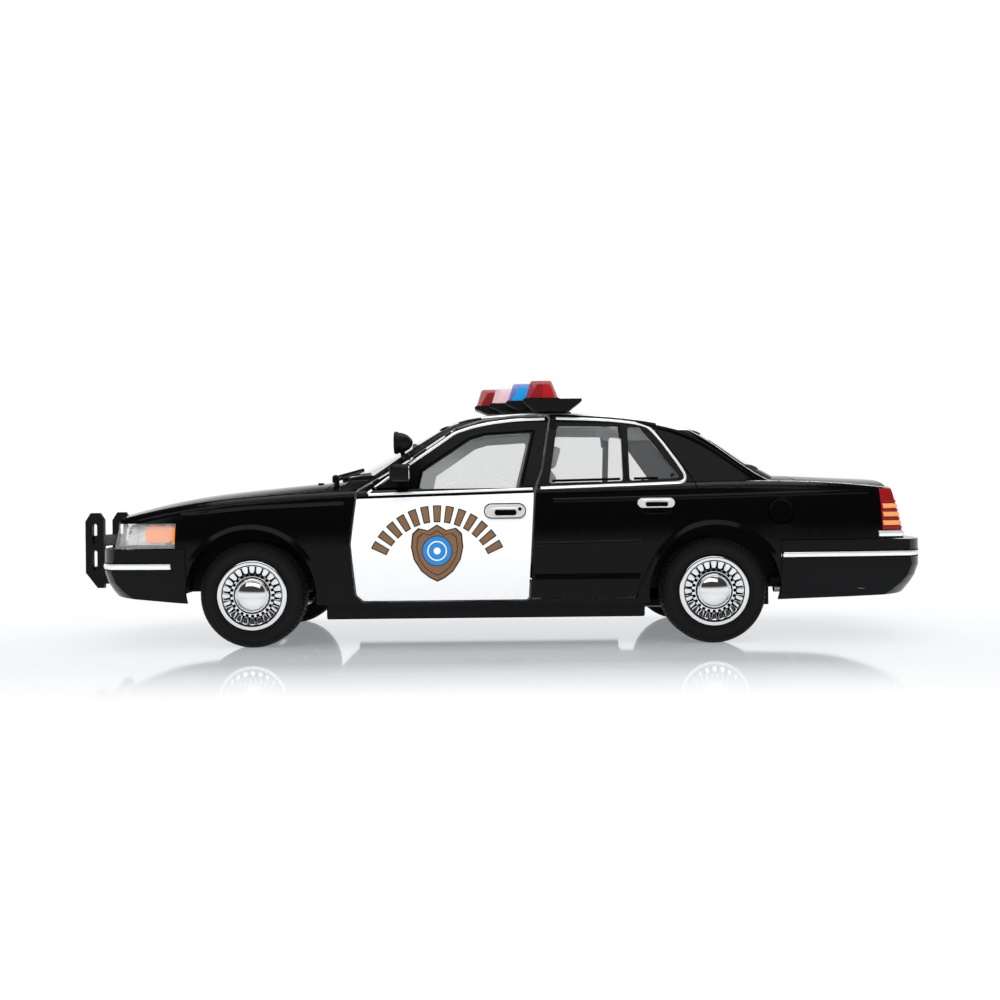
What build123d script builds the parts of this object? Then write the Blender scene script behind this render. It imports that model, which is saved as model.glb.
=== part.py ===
from build123d import *
import math
import os

# Die-cast scale model, one to eighteen, of a four-door patrol sedan.
# Millimetres. -X is the front, +Z is up, and the driver's side is -Y.
# The origin is on the floor, at the middle of the overall length and width.

# Driving sizes
wheelbase = 161.8
front_overhang = 58.8
rear_overhang = 78.8
guard_reach = 10.6
body_width = 110.0
roof_height = 84.0
body_wall = 1.8
roof_wall = 1.5
glass_wall = 1.0
lamp_wall = 3.0
lens_wall = 1.0
backing_wall = 1.4
ledge_wall = 1.2
pane_drop = 0.2
groove_width = 0.45
groove_depth = 0.6
shut_gap = 0.45
door_gap = 0.7
fit_gap = 0.05
seat_gap = 0.2
overrun = 40.0

# Wheels and running gear
tyre_radius = 18.5
tyre_width = 12.5
rim_radius = 12.4
wheel_inset = 10.6
arch_gap = 4.5
kingpin_inset = 21.0
kingpin_radius = 1.1
steer_arm = 9.0
axle_radius = 1.5
running_gap = 0.06

# Places derived from the driving sizes
half_width = body_width / 2
total_length = guard_reach + front_overhang + wheelbase + rear_overhang
front_face = -total_length / 2 + guard_reach
front_axle = front_face + front_overhang
rear_axle = front_axle + wheelbase
rear_face = rear_axle + rear_overhang
wheel_plane = half_width - wheel_inset
kingpin_y = half_width - kingpin_inset
arch_radius = tyre_radius + arch_gap
SIDES = {"left": -1, "right": 1}


def along(u):
    """A place on X: -1 is the front face, 0 the front axle, 1 the rear axle, 2 the rear face."""
    if u < 0:
        return front_axle + u * front_overhang
    if u > 1:
        return rear_axle + (u - 1) * rear_overhang
    return front_axle + u * wheelbase


def across(share):
    """A place on Y, as a share of half the body's width."""
    return share * half_width


def up(share):
    """A height, as a share of the roof's height."""
    return share * roof_height


def block(x0, x1, y0, y1, z0, z1):
    """A plain block between two places on each axis."""
    middle = Pos((x0 + x1) / 2, (y0 + y1) / 2, (z0 + z1) / 2)
    return middle * Box(abs(x1 - x0), abs(y1 - y0), abs(z1 - z0))


def share_block(shares):
    """A block from its ends along, across and up, each written as a share."""
    u0, u1, v0, v1, h0, h1 = shares
    return block(along(u0), along(u1), across(v0), across(v1), up(h0), up(h1))


def side_points(shares):
    """Points of a side view outline, from rows of place along and height."""
    return [(along(u), up(h)) for u, h in shares]


def front_points(shares):
    """Points of a front view outline, from rows of width and height."""
    return [(across(v), up(h)) for v, h in shares]


def closed_face(points, radius=0.0):
    """A flat face from corner points, with its corners rounded."""
    face = make_face(Polyline(*points, close=True))
    return fillet(face.vertices(), radius) if radius else face


def side_prism(face, y0, y1):
    """Extrudes a side view face from y0 to y1."""
    low, high = min(y0, y1), max(y0, y1)
    return extrude(Plane((0, high, 0), x_dir=(1, 0, 0), z_dir=(0, -1, 0)) * face, high - low)


def front_prism(face, x0, x1):
    """Extrudes a front view face from x0 to x1."""
    return extrude(Plane((x0, 0, 0), x_dir=(0, 1, 0), z_dir=(1, 0, 0)) * face, x1 - x0)


def one_side(side, reach=None):
    """All space on one side of the middle plane."""
    far = SIDES[side] * (reach or body_width)
    return block(-total_length, total_length, 0, far, -overrun, roof_height + overrun)


# Cross sections of the lower body: place along, then floor height, floor width, waist width, waist height,
# belt width, belt height, deck edge width, deck edge height and crown height.
BODY_SHARES = [
    (-1.06, 0.214, 0.790, 0.845, 0.369, 0.826, 0.476, 0.756, 0.512, 0.530),
    (-0.75, 0.190, 0.864, 0.936, 0.369, 0.902, 0.512, 0.809, 0.550, 0.590),
    (-0.41, 0.179, 0.909, 0.978, 0.369, 0.927, 0.560, 0.827, 0.598, 0.638),
    (0.00, 0.149, 0.927, 0.993, 0.369, 0.931, 0.595, 0.836, 0.630, 0.670),
    (0.22, 0.121, 0.936, 0.996, 0.369, 0.931, 0.617, 0.851, 0.652, 0.705),
    (0.59, 0.121, 0.936, 1.000, 0.369, 0.935, 0.624, 0.858, 0.660, 0.714),
    (0.90, 0.121, 0.936, 1.000, 0.369, 0.935, 0.633, 0.858, 0.671, 0.720),
    (1.37, 0.173, 0.918, 0.989, 0.375, 0.920, 0.636, 0.822, 0.673, 0.707),
    (1.68, 0.185, 0.891, 0.960, 0.381, 0.895, 0.619, 0.796, 0.655, 0.693),
    (2.04, 0.202, 0.825, 0.895, 0.381, 0.840, 0.590, 0.745, 0.623, 0.661),
]
lower_bulge_share = 0.007
upper_bulge_share = 0.017

# Cross sections of the roof and pillars: place along, then base width, side width, side height,
# roof edge width, roof edge height and crown height.
CANOPY_SHARES = [
    (0.066, 0.760, 0.740, 0.575, 0.620, 0.580, 0.590),
    (0.12, 0.815, 0.790, 0.595, 0.710, 0.612, 0.646),
    (0.178, 0.850, 0.830, 0.613, 0.755, 0.643, 0.704),
    (0.237, 0.882, 0.864, 0.637, 0.791, 0.676, 0.768),
    (0.29, 0.886, 0.825, 0.700, 0.750, 0.745, 0.824),
    (0.344, 0.887, 0.782, 0.771, 0.702, 0.821, 0.880),
    (0.394, 0.889, 0.744, 0.835, 0.662, 0.884, 0.930),
    (0.443, 0.891, 0.709, 0.890, 0.627, 0.938, 0.969),
    (0.53, 0.891, 0.684, 0.931, 0.600, 0.971, 0.992),
    (0.65, 0.891, 0.680, 0.940, 0.591, 0.979, 1.000),
    (0.777, 0.891, 0.684, 0.931, 0.595, 0.967, 0.993),
    (0.888, 0.891, 0.695, 0.905, 0.607, 0.943, 0.975),
    (0.962, 0.889, 0.720, 0.851, 0.636, 0.900, 0.945),
    (1.11, 0.886, 0.778, 0.738, 0.698, 0.781, 0.860),
    (1.265, 0.870, 0.809, 0.643, 0.736, 0.685, 0.764),
    (1.40, 0.836, 0.818, 0.595, 0.755, 0.613, 0.673),
]
canopy_base_share = 0.560

# Plan of the painted body at two heights: nose middle, nose corner, nose shoulder, tail shoulder,
# tail corner and tail middle along.
FOOT_SHARES = (-0.93, -0.83, -0.64, 1.72, 1.86, 1.92)
HEAD_SHARES = (-0.87, -0.72, -0.50, 1.60, 1.77, 1.84)
foot_height_share = 0.36
head_height_share = 0.76
plan_corner_share = 0.78
plan_side_share = 1.08
# The bumpers' plan is upright, with softer corners.
BUMPER_PLAN_SHARES = (-1.0, -0.934, -0.483, 1.632, 1.952, 2.0)
bumper_corner_share = 0.70
bumper_side_share = 1.004
bumper_proud = 0.4
# How far the bumpers' lower edge rolls in, by height.
BUMPER_ROLL = [
    # height as a share of the roof's height, inset in millimetres
    (0.170, 6.5),
    (0.205, 4.2),
    (0.240, 2.4),
    (0.275, 1.0),
    (0.320, 0.0),
    (0.450, 0.0),
]


def mirrored_wire(half, crown, x):
    """A closed wire at x from half an outline: rows of end point and via point, with a bowed top."""
    ends = [end for end, _ in half]
    vias = [via for _, via in half]
    edges = [Line((x, -ends[0][0], ends[0][1]), (x, *ends[0]))]
    rows = list(zip(ends, vias[1:], ends[1:]))
    for start, via, end in rows:
        edges.append(three_point((x, *start), via and (x, *via), (x, *end)))
    edges.append(ThreePointArc((x, *ends[-1]), (x, 0, crown), (x, -ends[-1][0], ends[-1][1])))
    for start, via, end in reversed(rows):
        back_via = via and (x, -via[0], via[1])
        edges.append(three_point((x, -end[0], end[1]), back_via, (x, -start[0], start[1])))
    return Wire(edges)


def three_point(start, via, end):
    """An arc through via, or a line where there is no via."""
    return ThreePointArc(start, via, end) if via else Line(start, end)


def soft_mid(start, end, corner):
    """The middle of a soft corner from start to end."""
    return (start[0] + end[0] + 2 * corner[0]) / 4, (start[1] + end[1] + 2 * corner[1]) / 4


def body_section(row, inset, drop):
    """One cross section of the lower body, taken in by inset, with its floor lowered by drop."""
    u, floor_z, floor_y, waist_y, waist_z, belt_y, belt_z, deck_y, deck_z, crown_z = row
    floor = (across(floor_y) - inset, up(floor_z) - drop)
    waist = (across(waist_y) - inset, up(waist_z))
    belt = (across(belt_y) - inset, up(belt_z) - inset)
    deck = (across(deck_y) - inset, up(deck_z) - inset)
    low = ((floor[0] + waist[0]) / 2 + across(lower_bulge_share), (floor[1] + waist[1]) / 2)
    high = ((waist[0] + belt[0]) / 2 + across(upper_bulge_share), (waist[1] + belt[1]) / 2)
    shoulder = soft_mid(belt, deck, (belt[0], deck[1]))
    half = [(floor, None), (waist, low), (belt, high), (deck, shoulder)]
    return mirrored_wire(half, up(crown_z) - inset, along(u))


def canopy_section(row, inset, base_drop):
    """One cross section of the roof and pillars, taken in by inset."""
    u, base_y, side_y, side_z, roof_y, roof_z, crown_z = row
    base = (across(base_y) - inset, up(canopy_base_share) - base_drop)
    side = (across(side_y) - inset, up(side_z) - inset / 2)
    roof = (across(roof_y) - inset / 2, up(roof_z) - inset)
    rail = soft_mid(side, roof, (side[0], roof[1]))
    return mirrored_wire([(base, None), (side, None), (roof, rail)], up(crown_z) - inset, along(u))


def plan_wire(shares, z, inset, corner_share, side_share):
    """A closed plan outline at height z with a bowed nose and tail, taken in by inset."""
    nose, nose_corner, nose_side, tail_side, tail_corner, tail = (along(u) for u in shares)
    nose, nose_corner, nose_side = (x + inset for x in (nose, nose_corner, nose_side))
    tail, tail_corner, tail_side = (x - inset for x in (tail, tail_corner, tail_side))
    corner_y, side_y = across(corner_share) - inset, across(side_share) - inset
    nose_mid = soft_mid((nose_corner, corner_y), (nose_side, side_y), (nose_corner, side_y))
    tail_mid = soft_mid((tail_corner, corner_y), (tail_side, side_y), (tail_corner, side_y))
    stops = [
        ((nose_corner, -corner_y), (nose, 0)),
        ((nose_corner, corner_y), nose_mid),
        ((nose_side, side_y), None),
        ((tail_side, side_y), tail_mid),
        ((tail_corner, corner_y), (tail, 0)),
        ((tail_corner, -corner_y), (tail_mid[0], -tail_mid[1])),
        ((tail_side, -side_y), None),
        ((nose_side, -side_y), (nose_mid[0], -nose_mid[1])),
    ]
    edges = []
    for (start, via), (end, _) in zip(stops, stops[1:] + stops[:1]):
        edges.append(three_point((*start, z), via and (*via, z), (*end, z)))
    return Wire(edges)


def hull(inset=0.0, drop=0.0):
    """The lofted lower body before its nose and tail are rounded."""
    return Solid.make_loft([body_section(row, inset, drop) for row in BODY_SHARES], False)


def plan_form(inset=0.0):
    """The tapered plan form that rounds the nose and the tail of the painted body."""
    foot_z, head_z = up(foot_height_share), up(head_height_share)
    below = tuple(2 * foot - head for foot, head in zip(FOOT_SHARES, HEAD_SHARES))
    levels = ((below, 2 * foot_z - head_z), (FOOT_SHARES, foot_z), (HEAD_SHARES, head_z))
    wires = [plan_wire(shares, z, inset, plan_corner_share, plan_side_share) for shares, z in levels]
    return Solid.make_loft(wires, True)


def bumper_form(inset=0.0):
    """The plan form of both bumpers: upright, with a lower edge that rolls in."""
    wires = []
    for height, roll in BUMPER_ROLL:
        wires.append(plan_wire(BUMPER_PLAN_SHARES, up(height), inset + roll, bumper_corner_share, bumper_side_share))
    return Solid.make_loft(wires, True)


def canopy_form(inset=0.0, base_drop=0.0):
    """The roof and pillars as one solid, taken in by inset."""
    return Solid.make_loft([canopy_section(row, inset, base_drop) for row in CANOPY_SHARES], False)


outer_hull = hull()
inner_hull = hull(body_wall, overrun)
outer_lower = outer_hull & plan_form()
inner_lower = inner_hull & plan_form(body_wall)
outer_canopy = canopy_form()
outer_form = outer_lower + outer_canopy
inner_form = inner_lower + canopy_form(roof_wall, body_wall)
skin = outer_form - inner_form

# Openings of the body. Side view outlines are rows of place along and height.
DOOR_SHARES = [
    (0.243, 0.195),
    (0.598, 0.195),
    (0.612, 0.646),
    (0.6285, 0.731),
    (0.649, 0.9655),
    (0.570, 0.963),
    (0.499, 0.945),
    (0.443, 0.911),
    (0.335, 0.769),
    (0.2305, 0.650),
    (0.218, 0.430),
    (0.2287, 0.220),
]
DOOR_WINDOW_SHARES = [
    (0.3622, 0.657),
    (0.579, 0.657),
    (0.6088, 0.8917),
    (0.508, 0.881),
    (0.4753, 0.863),
    (0.4302, 0.805),
    (0.3708, 0.730),
]
REAR_PANE_SHARES = [(0.6669, 0.920), (0.6459, 0.6726), (0.8084, 0.682), (0.8084, 0.9155)]
QUARTER_PANE_SHARES = [(0.8232, 0.9143), (0.8232, 0.6833), (0.9357, 0.6917), (0.8504, 0.9107)]
# Front view outlines are rows of width and height.
WINDSHIELD_SHARES = [(-0.755, 0.695), (0.755, 0.695), (0.610, 0.932), (0, 0.958), (-0.610, 0.932)]
REAR_WINDOW_SHARES = [(-0.680, 0.728), (0.680, 0.728), (0.600, 0.905), (0, 0.925), (-0.600, 0.905)]
# The rear door's shut line, from the roof rail down the pillar, around the wheel arch and along the sill.
REAR_DOOR_SHARES = [
    (0.655, 0.9665),
    (0.764, 0.9595),
    (0.838, 0.940),
    (0.881, 0.9095),
    (0.959, 0.696),
    (0.965, 0.643),
    (0.9635, 0.548),
    (0.952, 0.516),
    (0.923, 0.477),
    (0.891, 0.431),
    (0.866, 0.369),
    (0.850, 0.298),
    (0.8345, 0.238),
    (0.833, 0.198),
    (0.6045, 0.198),
]
fuel_flap_shares = (1.292, 0.549)
fuel_flap_radius = 4.4
door_corner = 1.2
pane_corner = 1.0

door_face = closed_face(side_points(DOOR_SHARES), door_corner)
door_window_face = closed_face(side_points(DOOR_WINDOW_SHARES), pane_corner)
pane_faces = [closed_face(side_points(shares), pane_corner) for shares in (REAR_PANE_SHARES, QUARTER_PANE_SHARES)]
windshield_face = closed_face(front_points(WINDSHIELD_SHARES), pane_corner)
rear_window_face = closed_face(front_points(REAR_WINDOW_SHARES), pane_corner)
windshield_ends_share = (-0.20, 0.475)
rear_window_ends_share = (0.90, 1.60)

# The hood covers the top between the fenders, the trunk lid the deck and the tail between the lamps.
hood_side_share = 0.79
hood_lip_share = 0.530
hood_rear_share = 0.154
lid_side_share = 0.77
lid_front_share = 1.400
lid_foot_share = 0.445
lid_neck_share = 0.42
lamp_top_share = 0.640

# The bumpers, the lamps and the grille fill the nose and the tail below these heights.
front_bumper_top_share = 0.420
rear_bumper_top_share = 0.431
front_bumper_end_share = -0.381
rear_bumper_end_share = 1.289
header_end_share = -0.442
header_top_share = 0.524
tail_lamp_front_share = 1.745
tail_lamp_foot_share = 0.466
nose_panel_foot_share = 0.385
tail_panel_top_share = 0.62


def hood_space(grow=0.0):
    """The space of the hood, grown by its shut gap for the opening."""
    side = across(hood_side_share) + grow
    return block(-total_length, along(hood_rear_share) + grow, -side, side, up(hood_lip_share) - grow, roof_height)


def lid_space(grow=0.0):
    """The space of the trunk lid: the deck, and the tail between the lamps."""
    side, neck = across(lid_side_share) + grow, across(lid_neck_share) + grow
    front, foot = along(lid_front_share) - grow, up(lid_foot_share) - grow
    deck = block(front, total_length, -side, side, up(lamp_top_share) - grow, roof_height)
    tail = block(along(tail_lamp_front_share), total_length, -neck, neck, foot, up(lamp_top_share))
    return deck + tail


def arch_cutter(grow=0.0):
    """The four wheel openings, from the wheels' inner faces outwards."""
    cuts = []
    for x in (front_axle, rear_axle):
        for side in SIDES.values():
            length = body_width / 2
            centre = Pos(x, side * (kingpin_y + length / 2), tyre_radius)
            cuts.append(centre * Rot(90, 0, 0) * Cylinder(arch_radius + grow, length))
    return cuts


def body_openings():
    """Every opening that is cut through the skin."""
    door = offset(door_face, amount=door_gap)
    cuts = [side_prism(door, -body_width, body_width), hood_space(shut_gap), lid_space(shut_gap)]
    cuts += [side_prism(face, -body_width, body_width) for face in pane_faces]
    cuts.append(front_prism(windshield_face, *(along(u) for u in windshield_ends_share)))
    cuts.append(front_prism(rear_window_face, *(along(u) for u in rear_window_ends_share)))
    cuts += arch_cutter()
    wide = body_width
    front_end, rear_end = along(front_bumper_end_share), along(rear_bumper_end_share)
    cuts.append(block(-total_length, front_end, -wide, wide, -overrun, up(front_bumper_top_share)))
    cuts.append(block(rear_end, total_length, -wide, wide, -overrun, up(rear_bumper_top_share)))
    cuts.append(block(-total_length, along(header_end_share), -wide, wide, 0, up(header_top_share)))
    cuts.append(tail_space(-1))
    cuts.append(tail_space(1))
    return cuts


def tail_space(side):
    """The space of one tail lamp at the corner of the tail."""
    return block(
        along(tail_lamp_front_share),
        total_length,
        side * across(lid_neck_share),
        side * body_width,
        up(tail_lamp_foot_share),
        up(lamp_top_share),
    )


def groove_tool():
    """The thin shut lines of the rear doors and of the fuel flap on the driver's side."""
    line = trace(Polyline(*side_points(REAR_DOOR_SHARES)), groove_width)
    u, h = fuel_flap_shares
    ring = Circle(fuel_flap_radius + groove_width / 2) - Circle(fuel_flap_radius - groove_width / 2)
    flap = side_prism(Pos(along(u), up(h)) * ring, -body_width, 0)
    core = (hull(groove_depth) & plan_form(groove_depth)) + canopy_form(groove_depth)
    return (side_prism(line, -body_width, body_width) + flap) - core


def make_body_shell():
    """The cast shell with a radiator panel that carries the nose and a panel that carries the tail."""
    shell = skin - body_openings()
    panel_x = along(header_end_share)
    radiator_panel = inner_lower & block(
        panel_x, panel_x + body_wall, -body_width, body_width, up(nose_panel_foot_share), up(header_top_share)
    )
    tail_x = along(tail_lamp_front_share)
    tail_panel = inner_lower & block(
        tail_x - body_wall, tail_x, -body_width, body_width, up(nose_panel_foot_share), up(tail_panel_top_share)
    )
    return shell + radiator_panel + tail_panel - groove_tool()


def largest(shape):
    """The largest solid of a shape."""
    return max(shape.solids(), key=lambda solid: solid.volume)


def save(name, shape):
    """Writes one sub-part."""
    os.makedirs("parts", exist_ok=True)
    solids = shape.solids()
    export_step(solids[0] if len(solids) == 1 else Compound(solids), f"parts/{name}.step")
    print(name, len(solids), round(sum(solid.volume for solid in solids), 1))


# Doors
door_flange_shares = (0.40, 0.66, 0.636, 0.90)
card_inset = 1.6
card_inner_share = 0.862
card_top_share = 0.620
card_foot_share = 0.245


def make_door(side):
    """One front door: its skin and window frame in one piece."""
    panel = skin & side_prism(door_face, 0, SIDES[side] * body_width)
    u0, u1, v, h = door_flange_shares
    flange = block(along(u0), along(u1), 0, SIDES[side] * across(v), up(h), roof_height)
    return largest(panel - side_prism(door_window_face, -body_width, body_width) - flange)


def make_door_card(side):
    """The grey trim panel on the inside of one door."""
    low, high = up(card_foot_share), up(card_top_share)
    card_face = offset(door_face, amount=-card_inset)
    space = side_prism(card_face, 0, SIDES[side] * body_width)
    trim = block(-total_length, total_length, SIDES[side] * across(card_inner_share), SIDES[side] * body_width, low, high)
    return largest(inner_lower & space & trim)


pane_skin = canopy_form(pane_drop, 0) - canopy_form(pane_drop + glass_wall, 0)


def make_panes(face_list):
    """Glass that lies in its openings, a little below the outer skin."""
    cuts = [side_prism(offset(face, amount=-fit_gap), -body_width, body_width) for face in face_list]
    return [pane_skin & cut for cut in cuts]


# Nose and tail
header_inset = lamp_wall + fit_gap
lamp_back = hull(lamp_wall, overrun) & plan_form(lamp_wall)
lens_core = hull(lens_wall, overrun) & plan_form(lens_wall)
backing_outer = hull(header_inset, overrun) & plan_form(header_inset)
backing_inner = hull(header_inset + backing_wall, overrun) & plan_form(header_inset + backing_wall)
bumper_outer = hull(-bumper_proud) & bumper_form()
bumper_inner = inner_hull & bumper_form(body_wall + bumper_proud)
FRONT_BUMPER_SHARES = [(-1.01, 0.417), (-1.01, 0.226), (-0.80, 0.214), (-0.382, 0.188), (-0.382, 0.417)]
REAR_BUMPER_SHARES = [(2.01, 0.428), (2.01, 0.206), (1.80, 0.196), (1.29, 0.180), (1.29, 0.428)]
ledge_shares = (-0.56, 1.80)
grille_half_share = 0.40
lamp_split_share = -0.672
lamp_gap = 0.15
grille_rows = 3
grille_columns = 13
grille_bar = 0.7
grille_frame = 1.3
grille_hole_back = 6.0


def make_bumper(shares, ledge_space):
    """One bumper cover, open at the back and below, with a ledge that closes its top."""
    hollow = bumper_inner - ledge_space
    cover = (bumper_outer - hollow) & side_prism(closed_face(side_points(shares)), -body_width, body_width)
    return largest(cover - arch_cutter(fit_gap))


def ledge_block(x0, x1, top):
    """The space of a bumper's top ledge."""
    return block(x0, x1, -body_width, body_width, top - ledge_wall, roof_height)


def header_space(front_u, rear_u, inner_y, side, shrink=0.0):
    """A space in the band of lamps and grille between the bumper and the hood."""
    low = up(front_bumper_top_share) + fit_gap + shrink
    high = up(header_top_share) - fit_gap - shrink
    near, far = along(front_u) + shrink, along(rear_u) - fit_gap - shrink
    return block(near, far, side * (inner_y + shrink), side * body_width, low, high)


def make_lens(space, hollow_space):
    """A lens with thin side walls, open at its back."""
    return largest(((outer_lower - lamp_back) & space) - (lens_core & hollow_space))


def make_lamp(side, front_u, rear_u, inner_y):
    """One lamp lens that follows the corner of the nose."""
    place = (front_u, rear_u, inner_y, SIDES[side])
    return make_lens(header_space(*place), header_space(*place, lens_wall))


def make_grille():
    """The grille: a frame with crossing bars, open between them."""
    half = across(grille_half_share)
    low, high = up(front_bumper_top_share) + fit_gap, up(header_top_share) - fit_gap
    slab = (outer_lower - lamp_back) & block(-total_length, along(0), -half, half, low, high)
    pitch_y = 2 * (half - grille_frame) / grille_columns
    pitch_z = (high - low - 2 * grille_frame) / grille_rows
    cuts = []
    for column in range(grille_columns):
        for row in range(grille_rows):
            y = -half + grille_frame + (column + 0.5) * pitch_y
            z = low + grille_frame + (row + 0.5) * pitch_z
            hole = Box(overrun, pitch_y - grille_bar, pitch_z - grille_bar)
            cuts.append(Pos(front_face + grille_hole_back, y, z) * hole)
    return slab - cuts


def make_header_backing():
    """The black backing behind the lamps and the grille, seated on the radiator panel."""
    low, high = up(front_bumper_top_share) + fit_gap, up(header_top_share) - fit_gap
    wide = body_width
    return (backing_outer - backing_inner) & block(-total_length, along(header_end_share), -wide, wide, low, high)


def tail_lamp_space(side, shrink=0.0):
    """The space of one tail lamp at the corner of the tail."""
    inner, far = across(lid_neck_share) + lamp_gap + shrink, SIDES[side] * body_width
    low, high = up(tail_lamp_foot_share) + fit_gap + shrink, up(lamp_top_share) - fit_gap - shrink
    front = along(tail_lamp_front_share) + fit_gap
    return block(front + shrink, total_length, SIDES[side] * inner, far, low, high)


def make_tail_lamp(side):
    """One tail lamp that follows the corner of the tail."""
    return make_lens(tail_lamp_space(side), tail_lamp_space(side, lens_wall))


# Hood and trunk lid


def make_hood():
    """The hood panel."""
    return largest(skin & hood_space())


def make_trunk_lid():
    """The trunk lid with its rear face between the lamps."""
    return largest(skin & lid_space())


# Chassis
pan_foot = 11.5
pan_wall = 2.2
tray_rise = 8.6
well_gap = 7.6
well_wall = 1.0
well_inner_front = 28.5
well_inner_rear = 34.6
beam_half = 13.0
lug_radius = 2.6
lug_height = 2.2
knuckle_rise = 3.6
cradle_half = 3.4
cradle_width = 5.0
cradle_y_share = 0.53
PAN_SHARES = [
    # front end, rear end, half width, level: 0 for the floor and 1 for the raised tray
    (-0.83, -0.45, 0.74, 1),
    (-0.50, 0.175, 0.42, 1),
    (0.165, 0.845, 0.895, 0),
    (0.83, 1.300, 0.50, 0),
    (1.28, 1.80, 0.72, 1),
]
RISER_SHARES = ((0.17, 0.42), (1.29, 0.50))
well_outer_share = 0.87
screw_radius = 1.25
screw_places_share = (0.33, 0.72)


def make_chassis():
    """The base plate with its raised trays, wheel wells, king pin lugs and axle cradles."""
    pieces = []
    for u0, u1, v, level in PAN_SHARES:
        foot = pan_foot + level * tray_rise
        pieces.append(block(along(u0), along(u1), -across(v), across(v), foot, foot + pan_wall))
    riser_low, riser_high = pan_foot, pan_foot + tray_rise + pan_wall
    for u, v in RISER_SHARES:
        pieces.append(
            block(along(u) - pan_wall / 2, along(u) + pan_wall / 2, -across(v), across(v), riser_low, riser_high)
        )
    pieces += front_lugs()
    pieces += rear_cradles()
    pieces += wheel_wells()
    plate = pieces[0].fuse(*pieces[1:])
    pins = [Pos(front_axle, s * kingpin_y, tyre_radius) * Cylinder(kingpin_radius + running_gap, overrun) for s in (-1, 1)]
    bore = Pos(rear_axle, 0, tyre_radius) * Rot(90, 0, 0) * Cylinder(axle_radius + running_gap, body_width)
    screws = [Pos(along(u), 0, 0) * Cylinder(screw_radius, overrun * 2) for u in screw_places_share]
    return plate - pins - bore - screws


def front_lugs():
    """Two crossing arms at the front axle with rounded ends around the king pins."""
    pieces = []
    top, bottom = tyre_radius + knuckle_rise, tyre_radius - knuckle_rise
    for low in (top, bottom - lug_height):
        pieces.append(block(front_axle - lug_radius, front_axle + lug_radius, -kingpin_y, kingpin_y, low, low + lug_height))
        for side in (-1, 1):
            centre = Pos(front_axle, side * kingpin_y, low + lug_height / 2)
            pieces.append(centre * Cylinder(lug_radius, lug_height))
    pieces.append(
        block(
            front_axle - lug_radius,
            front_axle + lug_radius,
            -beam_half,
            beam_half,
            bottom - lug_height,
            top + lug_height,
        )
    )
    return pieces


def rear_cradles():
    """Two blocks that hold the rear axle."""
    pieces = []
    for side in (-1, 1):
        y = side * across(cradle_y_share)
        low, high = pan_foot, tyre_radius + cradle_half
        pieces.append(
            block(rear_axle - cradle_half, rear_axle + cradle_half, y - cradle_width / 2, y + cradle_width / 2, low, high)
        )
    return pieces


def wheel_wells():
    """Half round covers over the four wheels."""
    wells = []
    outer, inner = tyre_radius + well_gap + well_wall, tyre_radius + well_gap
    for x, inner_y in ((front_axle, well_inner_front), (rear_axle, well_inner_rear)):
        for side in (-1, 1):
            near, far = side * inner_y, side * across(well_outer_share)
            centre = Pos(x, (near + far) / 2, tyre_radius) * Rot(90, 0, 0)
            ring = centre * Cylinder(outer, abs(far - near)) - centre * Cylinder(inner, body_width)
            wall = Pos(x, side * (inner_y - well_wall / 2), tyre_radius) * Rot(90, 0, 0) * Cylinder(outer, well_wall)
            upper = block(x - outer, x + outer, -body_width, body_width, tyre_radius, roof_height)
            wells.append((ring + wall) & upper)
    return wells


# Cabin
tub_half_share = 0.845
tub_floor = 14.0
tub_wall = 1.4
tub_front_share = 0.178
tub_rear_share = 0.832
firewall_top_share = 0.60
shelf_top_share = 0.640
shelf_rear_share = 1.23
back_half_share = 0.62
trim_front_share = 0.625
trim_top_share = 0.64


def make_cabin_tub():
    """The grey cabin floor with its front wall, the trim of the rear doors and the parcel shelf."""
    half = across(tub_half_share)
    front, rear = along(tub_front_share), along(tub_rear_share)
    floor = block(front, rear, -half, half, tub_floor, tub_floor + tub_wall)
    wall = block(front, front + tub_wall, -half, half, tub_floor, up(firewall_top_share))
    tub = floor + wall
    for side in (-1, 1):
        inner, outer = side * (half - tub_wall), side * half
        tub += block(along(trim_front_share), rear, inner, outer, tub_floor, up(trim_top_share))
    back = block(rear - tub_wall, rear, -across(back_half_share), across(back_half_share), tub_floor, up(shelf_top_share))
    shelf = block(rear - tub_wall, along(shelf_rear_share), -half, half, up(shelf_top_share) - tub_wall, up(shelf_top_share))
    return tub + back + shelf


seat_cushion_shares = [(0.415, 0.250), (0.415, 0.335), (0.44, 0.365), (0.58, 0.345), (0.575, 0.250)]
seat_back_shares = [(0.552, 0.325), (0.606, 0.325), (0.665, 0.70), (0.652, 0.735), (0.628, 0.72)]
seat_head_shares = [(0.640, 0.750), (0.665, 0.745), (0.678, 0.83), (0.655, 0.845), (0.645, 0.81)]
seat_half_share = 0.27
seat_place_share = 0.41
head_half_share = 0.13
seat_round = 1.0
seat_foot_shares = (0.45, 0.56, 0.27)
seat_post_shares = (0.646, 0.656, 0.72, 0.77)


def make_front_seat(side):
    """One front bucket seat: cushion, back, head restraint and mounting block."""
    y = SIDES[side] * across(seat_place_share)
    half, head = across(seat_half_share), across(head_half_share)
    seat = None
    for shares, reach in ((seat_cushion_shares, half), (seat_back_shares, half), (seat_head_shares, head)):
        slab = side_prism(closed_face(side_points(shares), seat_round), y - reach, y + reach)
        seat = slab if seat is None else seat + slab
    u0, u1, h1 = seat_foot_shares
    foot = block(along(u0), along(u1), y - half / 2, y + half / 2, tub_floor + tub_wall, up(h1))
    u0, u1, h0, h1 = seat_post_shares
    posts = block(along(u0), along(u1), y - head / 2, y + head / 2, up(h0), up(h1))
    return seat + foot + posts


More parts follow.
